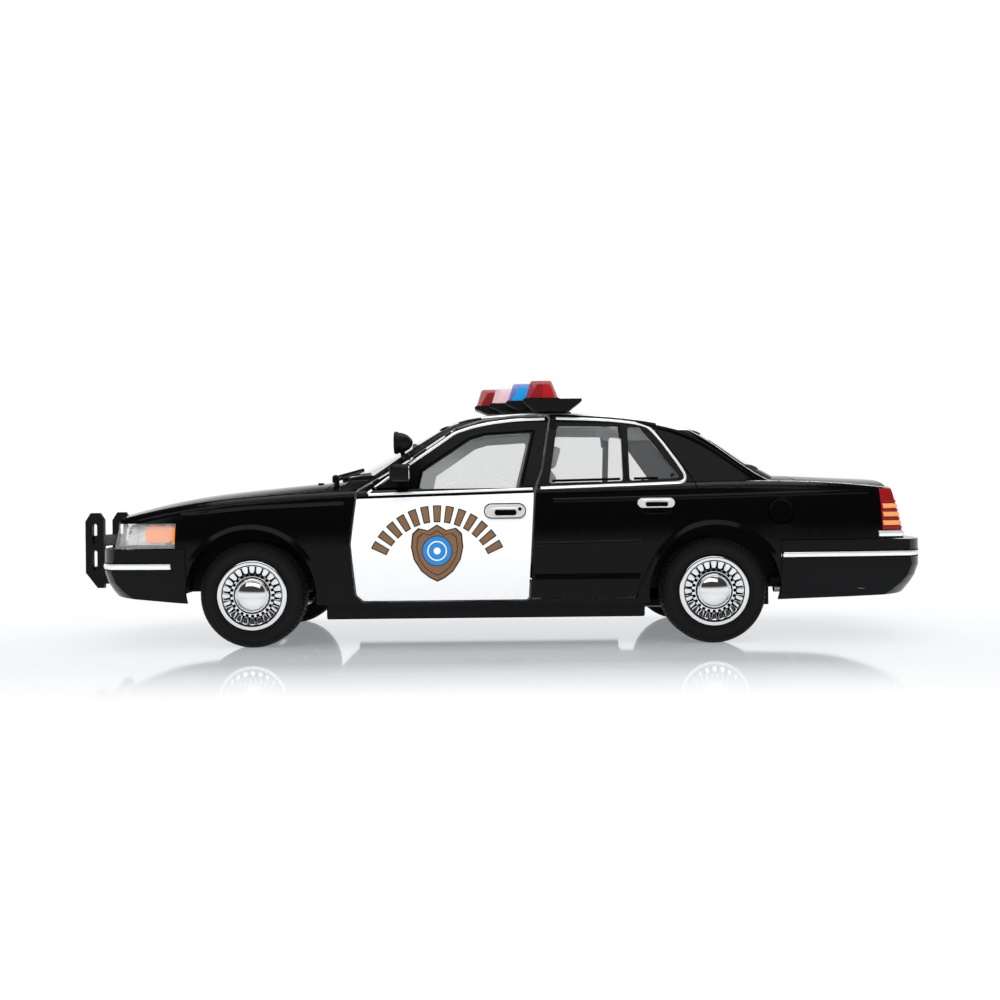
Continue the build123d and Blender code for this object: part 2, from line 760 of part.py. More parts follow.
bench_cushion_shares = [(0.735, 0.200), (0.735, 0.330), (0.76, 0.365), (0.828, 0.350), (0.828, 0.200)]
bench_back_shares = [(0.775, 0.325), (0.827, 0.325), (0.827, 0.630), (0.81, 0.675), (0.79, 0.66)]
bench_half_share = 0.60


def make_rear_bench():
    """The rear bench with its back."""
    half = across(bench_half_share)
    cushion = side_prism(closed_face(side_points(bench_cushion_shares), seat_round), -half, half)
    back = side_prism(closed_face(side_points(bench_back_shares), seat_round), -half, half)
    return cushion + back - block(along(tub_rear_share) - tub_wall, rear_face, -half, half, 0, roof_height)


dash_shares = [(0.190, 0.44), (0.190, 0.60), (0.215, 0.625), (0.262, 0.605), (0.275, 0.56), (0.235, 0.44)]
wheel_rim_radius = 6.6
wheel_rim_wire = 0.65
wheel_place_shares = (0.315, 0.365, 0.595)
wheel_tilt = 25.0
column_radius = 0.9
column_length = 12.0
hub_radius = 1.7
hub_depth = 1.4


def make_dashboard():
    """The dashboard, standing on the front wall of the cabin."""
    half = across(tub_half_share) - seat_gap
    slab = side_prism(closed_face(side_points(dash_shares), seat_round), -half, half)
    front = along(tub_front_share)
    return slab - block(front - tub_wall, front + tub_wall, -half * 2, half * 2, 0, roof_height)


def make_steering_wheel(dash):
    """The steering wheel with its column, seated on the dashboard."""
    u, v, h = wheel_place_shares
    place = Pos(along(u), -across(v), up(h)) * Rot(0, -90 - wheel_tilt, 0)
    rim = place * Torus(wheel_rim_radius, wheel_rim_wire)
    hub = place * Cylinder(hub_radius, hub_depth)
    spoke = place * Box(wheel_rim_wire, wheel_rim_radius * 2, wheel_rim_wire)
    column = place * Pos(0, 0, column_length / 2) * Cylinder(column_radius, column_length)
    return largest(rim + hub + spoke + column - dash)


# Engine
engine_shares = (0.03, 0.155, -0.30, 0.30, 0.268, 0.60)


def make_engine():
    """A plain block for the engine, standing on the tray."""
    return share_block(engine_shares)


# Light bar: seven pods in a chevron, each on its own step of the base
bar_foot_share = 1.004
bar_low_share = 0.984
bar_deck_share = 1.038
bar_top_share = 1.117
pod_foot = 11.9
pod_head = 7.2
pod_front_lean = 2.1
pod_width = 10.2
pod_gap = 0.8
pod_round = 1.2
bar_lead = 0.7
bar_chin = 4.6
bar_lip = 0.9
bar_tail = 8.4
bar_tail_foot = 4.8
POD_SHARES = [
    # place of the pod's front foot along, place across, colour
    (0.485, 0.000, "red"),
    (0.5215, 0.203, "clear"),
    (0.559, 0.406, "blue"),
    (0.597, 0.609, "red"),
]


def pod_places():
    """Front foot, middle and colour of each pod on both arms of the chevron."""
    places = []
    for u, v, colour in POD_SHARES:
        for side in (-1, 1) if v else (1,):
            places.append((along(u), side * across(v), colour))
    return places


def make_light_bar_base():
    """The black base: a step with a raked chin and tail under each pod, and a foot on the roof at each end."""
    deck = up(bar_deck_share)
    outermost = max(y for _, y, _ in pod_places())
    pieces = []
    for x, y, _ in pod_places():
        foot = up(bar_low_share if abs(y) == outermost else bar_foot_share)
        rear = x + pod_foot + bar_tail
        side_view = [
            (x - bar_lead, deck),
            (x - bar_lead, deck - bar_lip),
            (x - bar_lead + bar_chin, foot),
            (rear - bar_tail_foot, foot),
            (rear, deck - bar_lip),
            (rear, deck),
        ]
        half = pod_width / 2 + pod_gap
        pieces.append(side_prism(closed_face(side_view), y - half, y + half))
    base = pieces[0].fuse(*pieces[1:])
    return base - outer_canopy


def make_pods(colour):
    """The lenses of one colour: tapered pods with rounded tops."""
    deck, top = up(bar_deck_share), up(bar_top_share)
    pods = []
    for x, y, pod_colour in pod_places():
        if pod_colour == colour:
            head = x + pod_front_lean
            side_view = [(x, deck), (head, top), (head + pod_head, top), (x + pod_foot, deck)]
            pod = side_prism(closed_face(side_view), y - pod_width / 2, y + pod_width / 2)
            pods.append(fillet(pod.faces().sort_by(Axis.Z)[-1].edges(), pod_round))
    return Compound([pod.solid() for pod in pods])


# Push bar
guard_y = 16.0
guard_wall = 2.4
GUARD_SHARES = [
    # place from the push bar's front face towards the bumper's face, as a share of its reach, and height
    (0.0, 0.30),
    (0.0, 0.530),
    (0.19, 0.568),
    (0.49, 0.568),
    (0.65, 0.538),
    (0.65, 0.231),
    (0.42, 0.231),
]
guard_slot = 1.8
guard_slot_shares = ((0.33, 0.31, 0.40), (0.33, 0.43, 0.52))
guard_bars_share = ((0.415, 0.465), (0.285, 0.325))
guard_bars_reach_share = (0.12, 0.40)
guard_bracket_share = (0.25, 0.31)
guard_bracket_reach_share = (0.5, 1.4)


def guard_x(share):
    """A place on X between the push bar's front face and the bumper's front face."""
    return front_face - guard_reach + share * guard_reach


def make_push_bar():
    """The push bar: two upright plates, two crossing bars and the brackets behind them."""
    face = closed_face([(guard_x(x), up(h)) for x, h in GUARD_SHARES])
    plates = []
    for side in (-1, 1):
        near, far = side * guard_y - guard_wall / 2, side * guard_y + guard_wall / 2
        plate = side_prism(face, near, far)
        for x, low, high in guard_slot_shares:
            middle = (guard_x(x), (up(low) + up(high)) / 2)
            slot = Pos(*middle) * Rot(0, 0, 90) * SlotOverall(up(high) - up(low), guard_slot)
            plate = plate - side_prism(slot, -body_width, body_width)
        low, high = guard_bracket_share
        front, rear = guard_bracket_reach_share
        plates.append(plate + block(guard_x(front), guard_x(rear), near, far, up(low), up(high)))
    front, rear = guard_bars_reach_share
    bars = [block(guard_x(front), guard_x(rear), -guard_y, guard_y, up(low), up(high)) for low, high in guard_bars_share]
    return plates[0].fuse(plates[1], *bars) - bumper_outer


# Small fittings on the body
handle_length = 14.0
handle_height = 4.6
handle_proud = 1.0
handle_places_share = {"front": (0.549, 0.562), "rear": (0.874, 0.589)}
handle_rear_length = 12.8
handle_rear_height = 3.4
mirror_shares = (0.303, 0.345, 0.93, 1.075, 0.688, 0.759)
mirror_side_round = 2.0
mirror_nose_round = 1.9
arm_shares = (0.312, 0.336, 0.80, 0.95, 0.695, 0.725)
sail_shares = [(0.264, 0.664), (0.342, 0.664), (0.334, 0.733)]
sail_proud = 1.2
sail_inner_share = 0.5
spot_radius = 3.7
spot_depth = 6.1
spot_rim = 0.25
spot_rim_length = 0.9
spot_nose_pull_share = 0.56
spot_shares = (0.312, 0.845, 0.852)
spot_foot_shares = (0.330, 0.755, 0.772)
spot_stem = 0.85
spot_stem_sink = 1.6
wiper_width = 1.0
wiper_height = 1.0
wiper_pivot_length = 4.0
WIPER_SHARES = [
    # pivot along, across, up, then blade end along, across, up
    (0.166, -0.48, 0.702, 0.205, 0.10, 0.752),
    (0.166, 0.05, 0.712, 0.205, 0.60, 0.735),
]
exhaust_radius = 1.8
exhaust_bore = 1.3
exhaust_shares = (1.32, 1.845, -0.55, 0.2155)


def make_handle(side, which):
    """One door handle, seated on the outside of its door."""
    u, h = handle_places_share[which]
    length = handle_length if which == "front" else handle_rear_length
    height = handle_height if which == "front" else handle_rear_height
    centre = (along(u), up(h))
    pill = Pos(*centre) * SlotOverall(length, height)
    sign = SIDES[side]
    deep = side_prism(pill, 0, sign * body_width)
    return largest((deep & handle_form) - outer_form)


handle_form = hull(-handle_proud)


def make_mirror(side):
    """One outside mirror with its sail plate, carried by the door: round in front and flat behind."""
    sign = SIDES[side]
    u0, u1, v0, v1, h0, h1 = mirror_shares
    head = block(along(u0), along(u1), sign * across(v0), sign * across(v1), up(h0), up(h1))
    head = fillet(head.edges().filter_by(Axis.X), mirror_side_round)
    head = fillet(head.faces().sort_by(Axis.X)[0].edges(), mirror_nose_round)
    sail = side_prism(closed_face(side_points(sail_shares)), sign * across(sail_inner_share), sign * body_width) & sail_form
    u0, u1, v0, v1, h0, h1 = arm_shares
    arm = block(along(u0), along(u1), sign * across(v0), sign * across(v1), up(h0), up(h1))
    return largest(head + sail + arm - outer_canopy)


sail_form = canopy_form(-sail_proud)


def make_spotlight(side):
    """One spotlight: a bowl with a flat face, on a stem from the windshield pillar."""
    sign = SIDES[side]
    u, v, h = spot_shares
    face = Vector(along(u), sign * across(v), up(h))
    pull = spot_nose_pull_share
    dome = Bezier((0, spot_radius), (spot_depth * pull, spot_radius), (spot_depth, spot_radius * pull), (spot_depth, 0))
    profile = make_face([Line((0, 0), (0, spot_radius)), dome, Line((spot_depth, 0), (0, 0))])
    bowl = Pos(face) * revolve(profile, Axis.X)
    rim_middle = face + Vector(spot_rim_length / 2, 0, 0)
    rim = Pos(rim_middle) * Rot(0, 90, 0) * Cylinder(spot_radius + spot_rim, spot_rim_length)
    u, v, h = spot_foot_shares
    foot = Vector(along(u), sign * across(v), up(h))
    way = face + Vector(spot_depth / 3, 0, -spot_radius / 2) - foot
    length = way.length + spot_stem_sink
    stem = Plane(origin=foot, z_dir=way) * Pos(0, 0, length / 2 - spot_stem_sink) * Cylinder(spot_stem, length)
    return largest(bowl + rim + stem - outer_canopy)


def make_wipers():
    """Two wipers lying at the foot of the windshield."""
    arms = []
    for u0, v0, h0, u1, v1, h1 in WIPER_SHARES:
        start = Vector(along(u0), across(v0), up(h0))
        way = Vector(along(u1), across(v1), up(h1)) - start
        bar = Box(wiper_width, wiper_height, way.length)
        arm = Plane(origin=start, z_dir=way) * Pos(0, 0, way.length / 2) * bar
        pivot = Pos(start.X, start.Y, start.Z - wiper_height) * Cylinder(wiper_width, wiper_pivot_length)
        arms.append(largest(arm + pivot - outer_form))
    return Compound(arms)


def make_exhaust():
    """The tail pipe under the rear bumper."""
    u0, u1, v, h = exhaust_shares
    length = along(u1) - along(u0)
    pipe = Cylinder(exhaust_radius, length) - Cylinder(exhaust_bore, length * 2)
    return Pos((along(u0) + along(u1)) / 2, across(v), up(h)) * Rot(0, 90, 0) * pipe


# Wheels
TYRE_SHARES = [
    # radius as a share of the tyre's radius, place across as a share of its half width
    (0.665, -0.84),
    (0.72, -0.98),
    (0.86, -1.0),
    (0.965, -0.86),
    (1.0, -0.62),
    (1.0, 0.62),
    (0.965, 0.86),
    (0.86, 1.0),
    (0.72, 0.98),
    (0.665, 0.84),
]
RIM_SHARES = [
    # radius as a share of the rim's radius, place across as a share of half the tyre's width
    (0.985, -0.80),
    (0.985, 0.80),
    (0.94, 0.99),
    (0.83, 0.92),
    (0.78, 0.80),
    (0.50, 0.90),
    (0.40, 1.02),
    (0.30, 1.10),
    (0.0, 1.14),
    (0.0, 0.40),
    (0.35, 0.40),
    (0.75, 0.55),
    (0.89, 0.45),
    (0.89, -0.80),
]
vent_count = 24
vent_radius_share = 0.645
vent_length = 2.7
vent_width = 1.1
hub_share = 0.30
hub_depth_share = 0.5
bore_depth_share = 0.75
arm_rise = 0.8
arm_wall = 1.6
arm_half = 1.5
drop_radius = 0.7
drop_length = 4.6
rod_wall = 1.4
rod_half = 1.6
rod_slack = 0.2
rod_end = 3.0
rod_slot_edge = 1.8


def wheel_place(x, side):
    """The wheel's frame: its outward axis along local Z."""
    return Pos(x, side * wheel_plane, tyre_radius) * Rot(-90 * side, 0, 0)


def turned(shares, radius, half):
    """A ring turned about local Z from rows of radius and place across."""
    points = [(r * radius, a * half) for r, a in shares]
    return revolve(Plane.XZ * make_face(Polyline(*points, close=True)), Axis.Z)


def make_tyre(x, side):
    """One tyre without tread."""
    return wheel_place(x, side) * turned(TYRE_SHARES, tyre_radius, tyre_width / 2)


def make_wheel(x, side, bore):
    """One wheel with its vented cover and a bore for its axle."""
    rim = turned(RIM_SHARES, rim_radius, tyre_width / 2)
    hub = Cylinder(hub_share * rim_radius, hub_depth_share * tyre_width)
    slot = Pos(vent_radius_share * rim_radius, 0) * SlotOverall(vent_length, vent_width)
    vents = [Rot(0, 0, turn * 360 / vent_count) * extrude(slot, overrun) for turn in range(vent_count)]
    hole = Pos(0, 0, -overrun / 2 + bore_depth_share * tyre_width / 2) * Cylinder(bore, overrun)
    return wheel_place(x, side) * (rim + hub - vents - hole)


def make_knuckle(side):
    """One steering knuckle: king pin, stub axle, and the arm with its pin."""
    sign = SIDES[side]
    y = sign * kingpin_y
    top, bottom = tyre_radius + knuckle_rise + lug_height, tyre_radius - knuckle_rise - lug_height
    pin = Pos(front_axle, y, (top + bottom) / 2) * Cylinder(kingpin_radius, top - bottom)
    core_half = knuckle_rise - running_gap
    core = Pos(front_axle, y, tyre_radius) * Cylinder(lug_radius, 2 * core_half)
    reach = wheel_plane + bore_depth_share * tyre_width / 2 - seat_gap - kingpin_y
    stub = Pos(front_axle, sign * (kingpin_y + reach / 2), tyre_radius) * Rot(90, 0, 0) * Cylinder(axle_radius, reach)
    arm_low = tyre_radius + arm_rise
    arm = block(front_axle, front_axle + steer_arm, y - arm_half, y + arm_half, arm_low, arm_low + arm_wall)
    end = Pos(front_axle + steer_arm, y, arm_low + arm_wall / 2) * Cylinder(arm_half, arm_wall)
    drop = Pos(front_axle + steer_arm, y, arm_low - drop_length / 2) * Cylinder(drop_radius, drop_length)
    return pin + core + stub + arm + end + drop


def make_tie_rod():
    """The tie rod: a flat bar with a slot at each end for the pins of the steering arms."""
    x = front_axle + steer_arm
    low = tyre_radius + arm_rise - drop_length + seat_gap
    bar = block(x - rod_half, x + rod_half, -kingpin_y - rod_end, kingpin_y + rod_end, low, low + rod_wall)
    for side in (-1, 1):
        pad = block(
            x - rod_end, x + rod_end, side * kingpin_y - rod_end, side * kingpin_y + rod_end, low, low + rod_wall
        )
        slot = SlotOverall(rod_end * 2 - rod_slot_edge, 2 * (drop_radius + rod_slack))
        bar = bar + pad
        bar = bar - Pos(x, side * kingpin_y, low - rod_wall) * extrude(slot, rod_wall * 3)
    return bar


def make_rear_axle():
    """The steel rear axle that both rear wheels are pressed on."""
    reach = wheel_plane + bore_depth_share * tyre_width / 2 - seat_gap
    return Pos(rear_axle, 0, tyre_radius) * Rot(90, 0, 0) * Cylinder(axle_radius, 2 * reach)


save("body_shell", make_body_shell())
save("hood", make_hood())
save("trunk_lid", make_trunk_lid())
front_ledge, rear_ledge = (along(u) for u in ledge_shares)
front_top, rear_top = (up(rows[0][1]) for rows in (FRONT_BUMPER_SHARES, REAR_BUMPER_SHARES))
save("front_bumper", make_bumper(FRONT_BUMPER_SHARES, ledge_block(-total_length, front_ledge, front_top)))
save("rear_bumper", make_bumper(REAR_BUMPER_SHARES, ledge_block(rear_ledge, total_length, rear_top)))
save("grille", make_grille())
save("header_backing", make_header_backing())
windshield_space = front_prism(offset(windshield_face, amount=-fit_gap), *(along(u) for u in windshield_ends_share))
rear_window_space = front_prism(offset(rear_window_face, amount=-fit_gap), *(along(u) for u in rear_window_ends_share))
save("windshield", largest(pane_skin & windshield_space))
save("rear_window", largest(pane_skin & rear_window_space))
panes = make_panes(pane_faces)
dashboard = make_dashboard()
for side in SIDES:
    save(f"door_{side}", make_door(side))
    save(f"door_card_{side}", make_door_card(side))
    save(f"headlamp_{side}", make_lamp(side, -1.06, lamp_split_share, across(grille_half_share) + lamp_gap))
    save(f"turn_lamp_{side}", make_lamp(side, lamp_split_share, header_end_share, across(grille_half_share)))
    save(f"tail_lamp_{side}", make_tail_lamp(side))
    save(f"rear_door_glass_{side}", Compound([s for pane in panes for s in (pane & one_side(side)).solids()]))
    save(f"front_seat_{side}", make_front_seat(side))
    save(f"door_handle_{side}", make_handle(side, "front"))
    save(f"rear_door_handle_{side}", make_handle(side, "rear"))
    save(f"mirror_{side}", make_mirror(side))
    save(f"spotlight_{side}", make_spotlight(side))
    save(f"knuckle_{side}", make_knuckle(side))
    sign = SIDES[side]
    save(f"front_tyre_{side}", make_tyre(front_axle, sign))
    save(f"rear_tyre_{side}", make_tyre(rear_axle, sign))
    save(f"front_wheel_{side}", make_wheel(front_axle, sign, axle_radius + running_gap))
    save(f"rear_wheel_{side}", make_wheel(rear_axle, sign, axle_radius))
save("dashboard", dashboard)
save("steering_wheel", make_steering_wheel(dashboard))
save("chassis", make_chassis())
save("cabin_tub", make_cabin_tub())
save("rear_bench", make_rear_bench())
save("engine", make_engine())
save("light_bar_base", make_light_bar_base())
for colour in ("red", "blue", "clear"):
    save(f"light_bar_{colour}", make_pods(colour))
save("push_bar", make_push_bar())
save("wipers", make_wipers())
save("exhaust", make_exhaust())
save("tie_rod", make_tie_rod())
save("rear_axle", make_rear_axle())
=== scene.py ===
from math import copysign, cos, hypot, radians, sin, sqrt, tau

import bmesh
import bpy
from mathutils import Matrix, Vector
from mathutils.bvhtree import BVHTree
from mathutils.geometry import convex_hull_2d


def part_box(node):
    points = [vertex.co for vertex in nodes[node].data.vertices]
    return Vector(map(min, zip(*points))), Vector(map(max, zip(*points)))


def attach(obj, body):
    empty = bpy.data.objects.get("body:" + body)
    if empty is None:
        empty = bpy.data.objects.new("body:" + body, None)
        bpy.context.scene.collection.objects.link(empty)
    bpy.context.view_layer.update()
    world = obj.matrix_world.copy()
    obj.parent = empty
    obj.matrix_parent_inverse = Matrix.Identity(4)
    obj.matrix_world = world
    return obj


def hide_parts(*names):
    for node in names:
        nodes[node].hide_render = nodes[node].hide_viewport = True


# Looks of a die-cast scale model of a four-door patrol sedan.
# Blender works in metres; lengths here are in millimetres and MM turns them into metres.
# -X is the front, +Z is up and the driver's side is -Y.

MM = 0.001
SIDES = {"left": -1, "right": 1}

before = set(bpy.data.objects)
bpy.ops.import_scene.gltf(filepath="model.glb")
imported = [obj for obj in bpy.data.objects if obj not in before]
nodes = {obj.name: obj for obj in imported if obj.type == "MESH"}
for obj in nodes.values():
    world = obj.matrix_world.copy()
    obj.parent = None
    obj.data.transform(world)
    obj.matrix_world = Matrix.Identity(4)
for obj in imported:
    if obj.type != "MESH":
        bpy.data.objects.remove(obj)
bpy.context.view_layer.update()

# Colours, as linear values
BLACK = (0.0014, 0.0014, 0.0016)
WHITE = (0.8, 0.81, 0.82)
PLASTIC = (0.0035, 0.0035, 0.0038)
SILVER = (0.86, 0.87, 0.88)
LINING = (0.68, 0.7, 0.71)
RUBBER = (0.0055, 0.0055, 0.006)
SMOKE = (0.3, 0.32, 0.33)

# Bounds of the painted areas
CABIN_MIDDLE = -15
CABIN_HALF_LENGTH = 57
CABIN_FLOOR = 52.5
TURNED_IN = -0.35
ROOF_MIDDLE = 14
ROOF_HALF_WIDTH = 36
ROOF_BOW = 0.9
ROOF_FOOT = 75.5
BELT_HEIGHT = 53.05
BELT_SLOPE = 0.0245
TURNED_OUT = 0.6


# Materials


class Tree:
    """The nodes of a material or of the world."""

    def __init__(self, owner):
        owner.use_nodes = True
        self.nodes, self.links = owner.node_tree.nodes, owner.node_tree.links

    def feed(self, socket, value):
        """Gives an input a number, a colour or another node's output."""
        if isinstance(value, bpy.types.NodeSocket):
            self.links.new(value, socket)
        else:
            socket.default_value = (*value, 1) if isinstance(value, tuple) else value

    def put(self, target, *values, **inputs):
        """Feeds a node's inputs in their order, or by name with _ for a space."""
        for socket, value in zip(target.inputs, values):
            self.feed(socket, value)
        for key, value in inputs.items():
            self.feed(target.inputs[key.replace("_", " ")], value)
        return target

    def add(self, kind, *values, **inputs):
        """Adds a node and feeds its inputs."""
        return self.put(self.nodes.new(f"ShaderNode{kind}"), *values, **inputs)

    def calc(self, kind, first, second=0):
        """A sum on outputs or numbers."""
        target = self.add("Math", first, second)
        target.operation = kind
        return target.outputs[0]

    def mix(self, fac, first, second):
        """A mix of two colours."""
        target = self.add("Mix")
        target.data_type = "RGBA"
        return self.put(target, Factor=fac, A=first, B=second).outputs["Result"]

    def place(self, kind="Object"):
        """The Object coordinates or others, and the same split in X, Y and Z."""
        where = self.add("TexCoord").outputs[kind]
        return where, self.add("SeparateXYZ", where).outputs


def new_material(name, **inputs):
    """A material, its nodes and its shader, whose inputs are fed by name."""
    material = bpy.data.materials.new(name)
    tree = Tree(material)
    return material, tree, tree.put(tree.nodes["Principled BSDF"], **inputs)


def grain(tree, shader, scale, roughness, spread, bump):
    """Fine uneven roughness and bump, the same at every angle of view."""
    fac = tree.add("TexNoise", Scale=scale, Detail=4, Vector=tree.place()[0]).outputs["Fac"]
    ramp = tree.add("MapRange", Value=fac, To_Min=roughness - spread, To_Max=roughness + spread)
    raised = tree.add("Bump", Strength=bump, Distance=0.02 * MM, Height=fac)
    tree.put(shader, Roughness=ramp.outputs["Result"], Normal=raised.outputs["Normal"])
    return fac


def ribs(tree, shader, axis, pitch, height=0.15, strength=0.5):
    """Moulded ribs across one axis."""
    wave = tree.calc("SINE", tree.calc("MULTIPLY", tree.place()[1][axis], tau / (pitch * MM)))
    raised = tree.add("Bump", Strength=strength, Distance=height * MM, Height=wave)
    tree.put(shader, Normal=raised.outputs["Normal"])


def finish(name, colour, tint, grains, rib=None, cover=None, **inputs):
    """A material whose colour changes slightly with its grain; cover paints over that colour."""
    material, tree, shader = new_material(name, **inputs)
    fac = grain(tree, shader, *grains)
    darker = tuple(c * (1 - tint) for c in colour)
    lighter = tuple(min(1, c * (1 + tint)) for c in colour)
    mixed = tree.mix(fac, darker, lighter)
    tree.put(shader, Base_Color=cover(tree, fac, mixed) if cover else mixed)
    if rib:
        ribs(tree, shader, *rib)
    return material


def solid(name, colour, roughness, scale=900, spread=0.03, bump=0.1, tint=0.06, metal=0, ior=1.35, rib=None):
    """A finish in one colour."""
    more = {"Metallic": metal} if metal else {"IOR": ior}
    return finish(name, colour, tint, (scale, roughness, spread, bump), rib, **more)


def lens(name, colour, alpha, painted_glow, rib):
    """Clear coloured plastic with moulded ribs, and a painted glow: the lens gives off a little light of its
    own, though the model's lamps are unlit.
    """
    more = {"Coat_Weight": 0.2, "Coat_Roughness": 0.02, "Emission_Color": colour, "Emission_Strength": painted_glow}
    return finish(name, colour, 0.08, (500, 0.08, 0.03, 0.05), rib, IOR=1.28, Alpha=alpha, **more)


def paint(name, mask=None):
    """Gloss black with a faint orange peel; a mask makes it white outside and grey inside."""

    def cover(tree, fac, black):
        white = tree.mix(fac, tuple(c * 0.985 for c in WHITE), WHITE)
        return tree.mix(inside_mask(tree), tree.mix(mask(tree), black, white), LINING)

    return finish(name, BLACK, 0.05, (350, 0.13, 0.03, 0.04), cover=mask and cover, IOR=1.22)


def facing(tree, y):
    """How far a surface faces away from the car's middle plane, and how far up."""
    _, (_, across, up) = tree.place("Normal")
    return tree.calc("MULTIPLY", across, tree.calc("SIGN", y)), up


def inside_mask(tree):
    """1 above the belt where a surface faces the cabin's middle or down on it."""
    _, (x, y, z) = tree.place()
    turned = tree.calc("LESS_THAN", tree.calc("MINIMUM", *facing(tree, y)), TURNED_IN)
    from_middle = tree.calc("ABSOLUTE", tree.calc("SUBTRACT", x, CABIN_MIDDLE * MM))
    cabin = tree.calc("LESS_THAN", from_middle, CABIN_HALF_LENGTH * MM)
    above = tree.calc("GREATER_THAN", z, CABIN_FLOOR * MM)
    return tree.calc("MULTIPLY", turned, tree.calc("MULTIPLY", cabin, above))


def roof_mask(tree):
    """1 on the roof panel between the drip rails, behind the windshield's top edge."""
    _, (x, y, z) = tree.place()
    from_middle = tree.calc("SUBTRACT", x, ROOF_MIDDLE * MM)
    bow = tree.calc("MULTIPLY", tree.calc("MULTIPLY", from_middle, from_middle), ROOF_BOW)
    half = tree.calc("ADD", bow, ROOF_HALF_WIDTH * MM)
    inside = tree.calc("LESS_THAN", tree.calc("ABSOLUTE", y), half)
    return tree.calc("MULTIPLY", inside, tree.calc("GREATER_THAN", z, ROOF_FOOT * MM))


def door_mask(tree):
    """1 on the door's outer face below its belt line, which rises a little to the rear."""
    _, (x, y, z) = tree.place()
    line = tree.calc("ADD", tree.calc("MULTIPLY", x, BELT_SLOPE), BELT_HEIGHT * MM)
    outer = tree.calc("GREATER_THAN", facing(tree, y)[0], TURNED_OUT)
    return tree.calc("MULTIPLY", outer, tree.calc("LESS_THAN", z, line))


M = {
    "body": paint("black_white_body", roof_mask),
    "black": paint("gloss_black"),
    "door": paint("white_door", door_mask),
    "chrome": solid("chrome", (0.8, 0.81, 0.82), 0.07, 700, bump=0.03, tint=0.03, metal=1),
    "bright": solid("bright_trim", SILVER, 0.22, 700, bump=0.03, tint=0.03, metal=0.5),
    "mirror": solid("mirror_glass", (0.75, 0.78, 0.8), 0.03, 300, 0.01, 0.01, metal=1),
    "reflector": solid("lamp_reflector", SILVER, 0.18, metal=0.45, rib=(1, 1.6, 0.2)),
    "steel": solid("steel", (0.32, 0.32, 0.33), 0.32, 1200, bump=0.15, metal=1),
    "plastic": solid("black_plastic", PLASTIC, 0.38, 2200, bump=0.15, tint=0.15, ior=1.22),
    "satin": solid("satin_black", PLASTIC, 0.27, 1200, bump=0.05, ior=1.2),
    "under": solid("base_plate_black", (0.01, 0.01, 0.011), 0.5, 1500, bump=0.3, tint=0.2, ior=1.2),
    "grey": solid("interior_grey", (0.5, 0.515, 0.52), 0.48, 2500, bump=0.3, tint=0.08),
    "grey_mid": solid("interior_seam", (0.22, 0.23, 0.235), 0.5, 2500, bump=0.3),
    "grey_dark": solid("interior_dark", (0.03, 0.031, 0.033), 0.45, 2500, bump=0.3),
    "cloth": solid("seat_cloth", (0.42, 0.43, 0.44), 0.8, 4200, 0.1, 0.8, 0.12),
    "carpet": solid("floor_carpet", (0.1, 0.1, 0.105), 0.9, 5200, 0.08, 0.9, 0.25),
    "engine": solid("engine_block", (0.3, 0.3, 0.31), 0.45, 700, bump=0.4, tint=0.2, metal=0.4),
    "rubber": finish("tyre_rubber", RUBBER, 0.25, (1600, 0.5, 0.08, 0.25), IOR=1.2, Sheen_Weight=0.03),
    "glass": finish("window_clear", SMOKE, 0.02, (200, 0.03, 0.01, 0.02), IOR=1.45, Alpha=0.11),
    # lenses: the fourth value is a painted glow, light given off by the unlit lenses and beacon cores
    "clear": lens("lamp_clear", (0.88, 0.9, 0.91), 0.14, 0, (1, 1.3)),
    "amber": lens("lamp_amber", (0.85, 0.24, 0.03), 0.95, 0.06, (2, 0.9, 0.05, 0.2)),
    "amber_pale": lens("lamp_pale_amber", (0.78, 0.34, 0.12), 0.93, 0.06, (1, 0.9)),
    "tail": lens("lamp_red", (0.23, 0.008, 0.01), 0.97, 0.02, (2, 0.9, 0.04, 0.3)),
    "pod_red": lens("beacon_red", (0.3, 0.002, 0.006), 0.66, 0, (1, 0.8, 0.03)),
    "pod_blue": lens("beacon_blue", (0.004, 0.1, 0.48), 0.52, 0.02, (1, 0.8, 0.03)),
    "pod_clear": lens("beacon_clear", (0.86, 0.8, 0.81), 0.42, 0.02, (1, 0.8, 0.03)),
    "core_red": lens("beacon_core_red", (0.8, 0.004, 0.008), 0.97, 0.12, (0, 0.9)),
    "core_pink": lens("beacon_core_pink", (0.8, 0.36, 0.38), 0.97, 0.1, (0, 0.9)),
    "core_blue": lens("beacon_core_blue", (0.01, 0.58, 0.95), 0.97, 0.35, (0, 0.9)),
    "core_painted_shadow": solid("beacon_shadow", (0.03, 0.001, 0.003), 0.4, ior=1.2),
    "bronze": solid("bronze_print", (0.18, 0.1, 0.052), 0.4, 1500, tint=0.35),
    "outline": solid("dark_print", (0.03, 0.018, 0.012), 0.4, 1500),
    "seal_blue": solid("blue_print", (0.02, 0.2, 0.52), 0.4, 1500, tint=0.1),
    "white_print": solid("white_print", WHITE, 0.4, 1500),
    # near black for rubber, wells, slots, beds and discs; on the lower crease and at the front handles it is
    # painted shade
    "black_and_shade": solid("near_black_and_painted_shade", (0.0012, 0.0012, 0.0012), 0.6, ior=1.1),
}

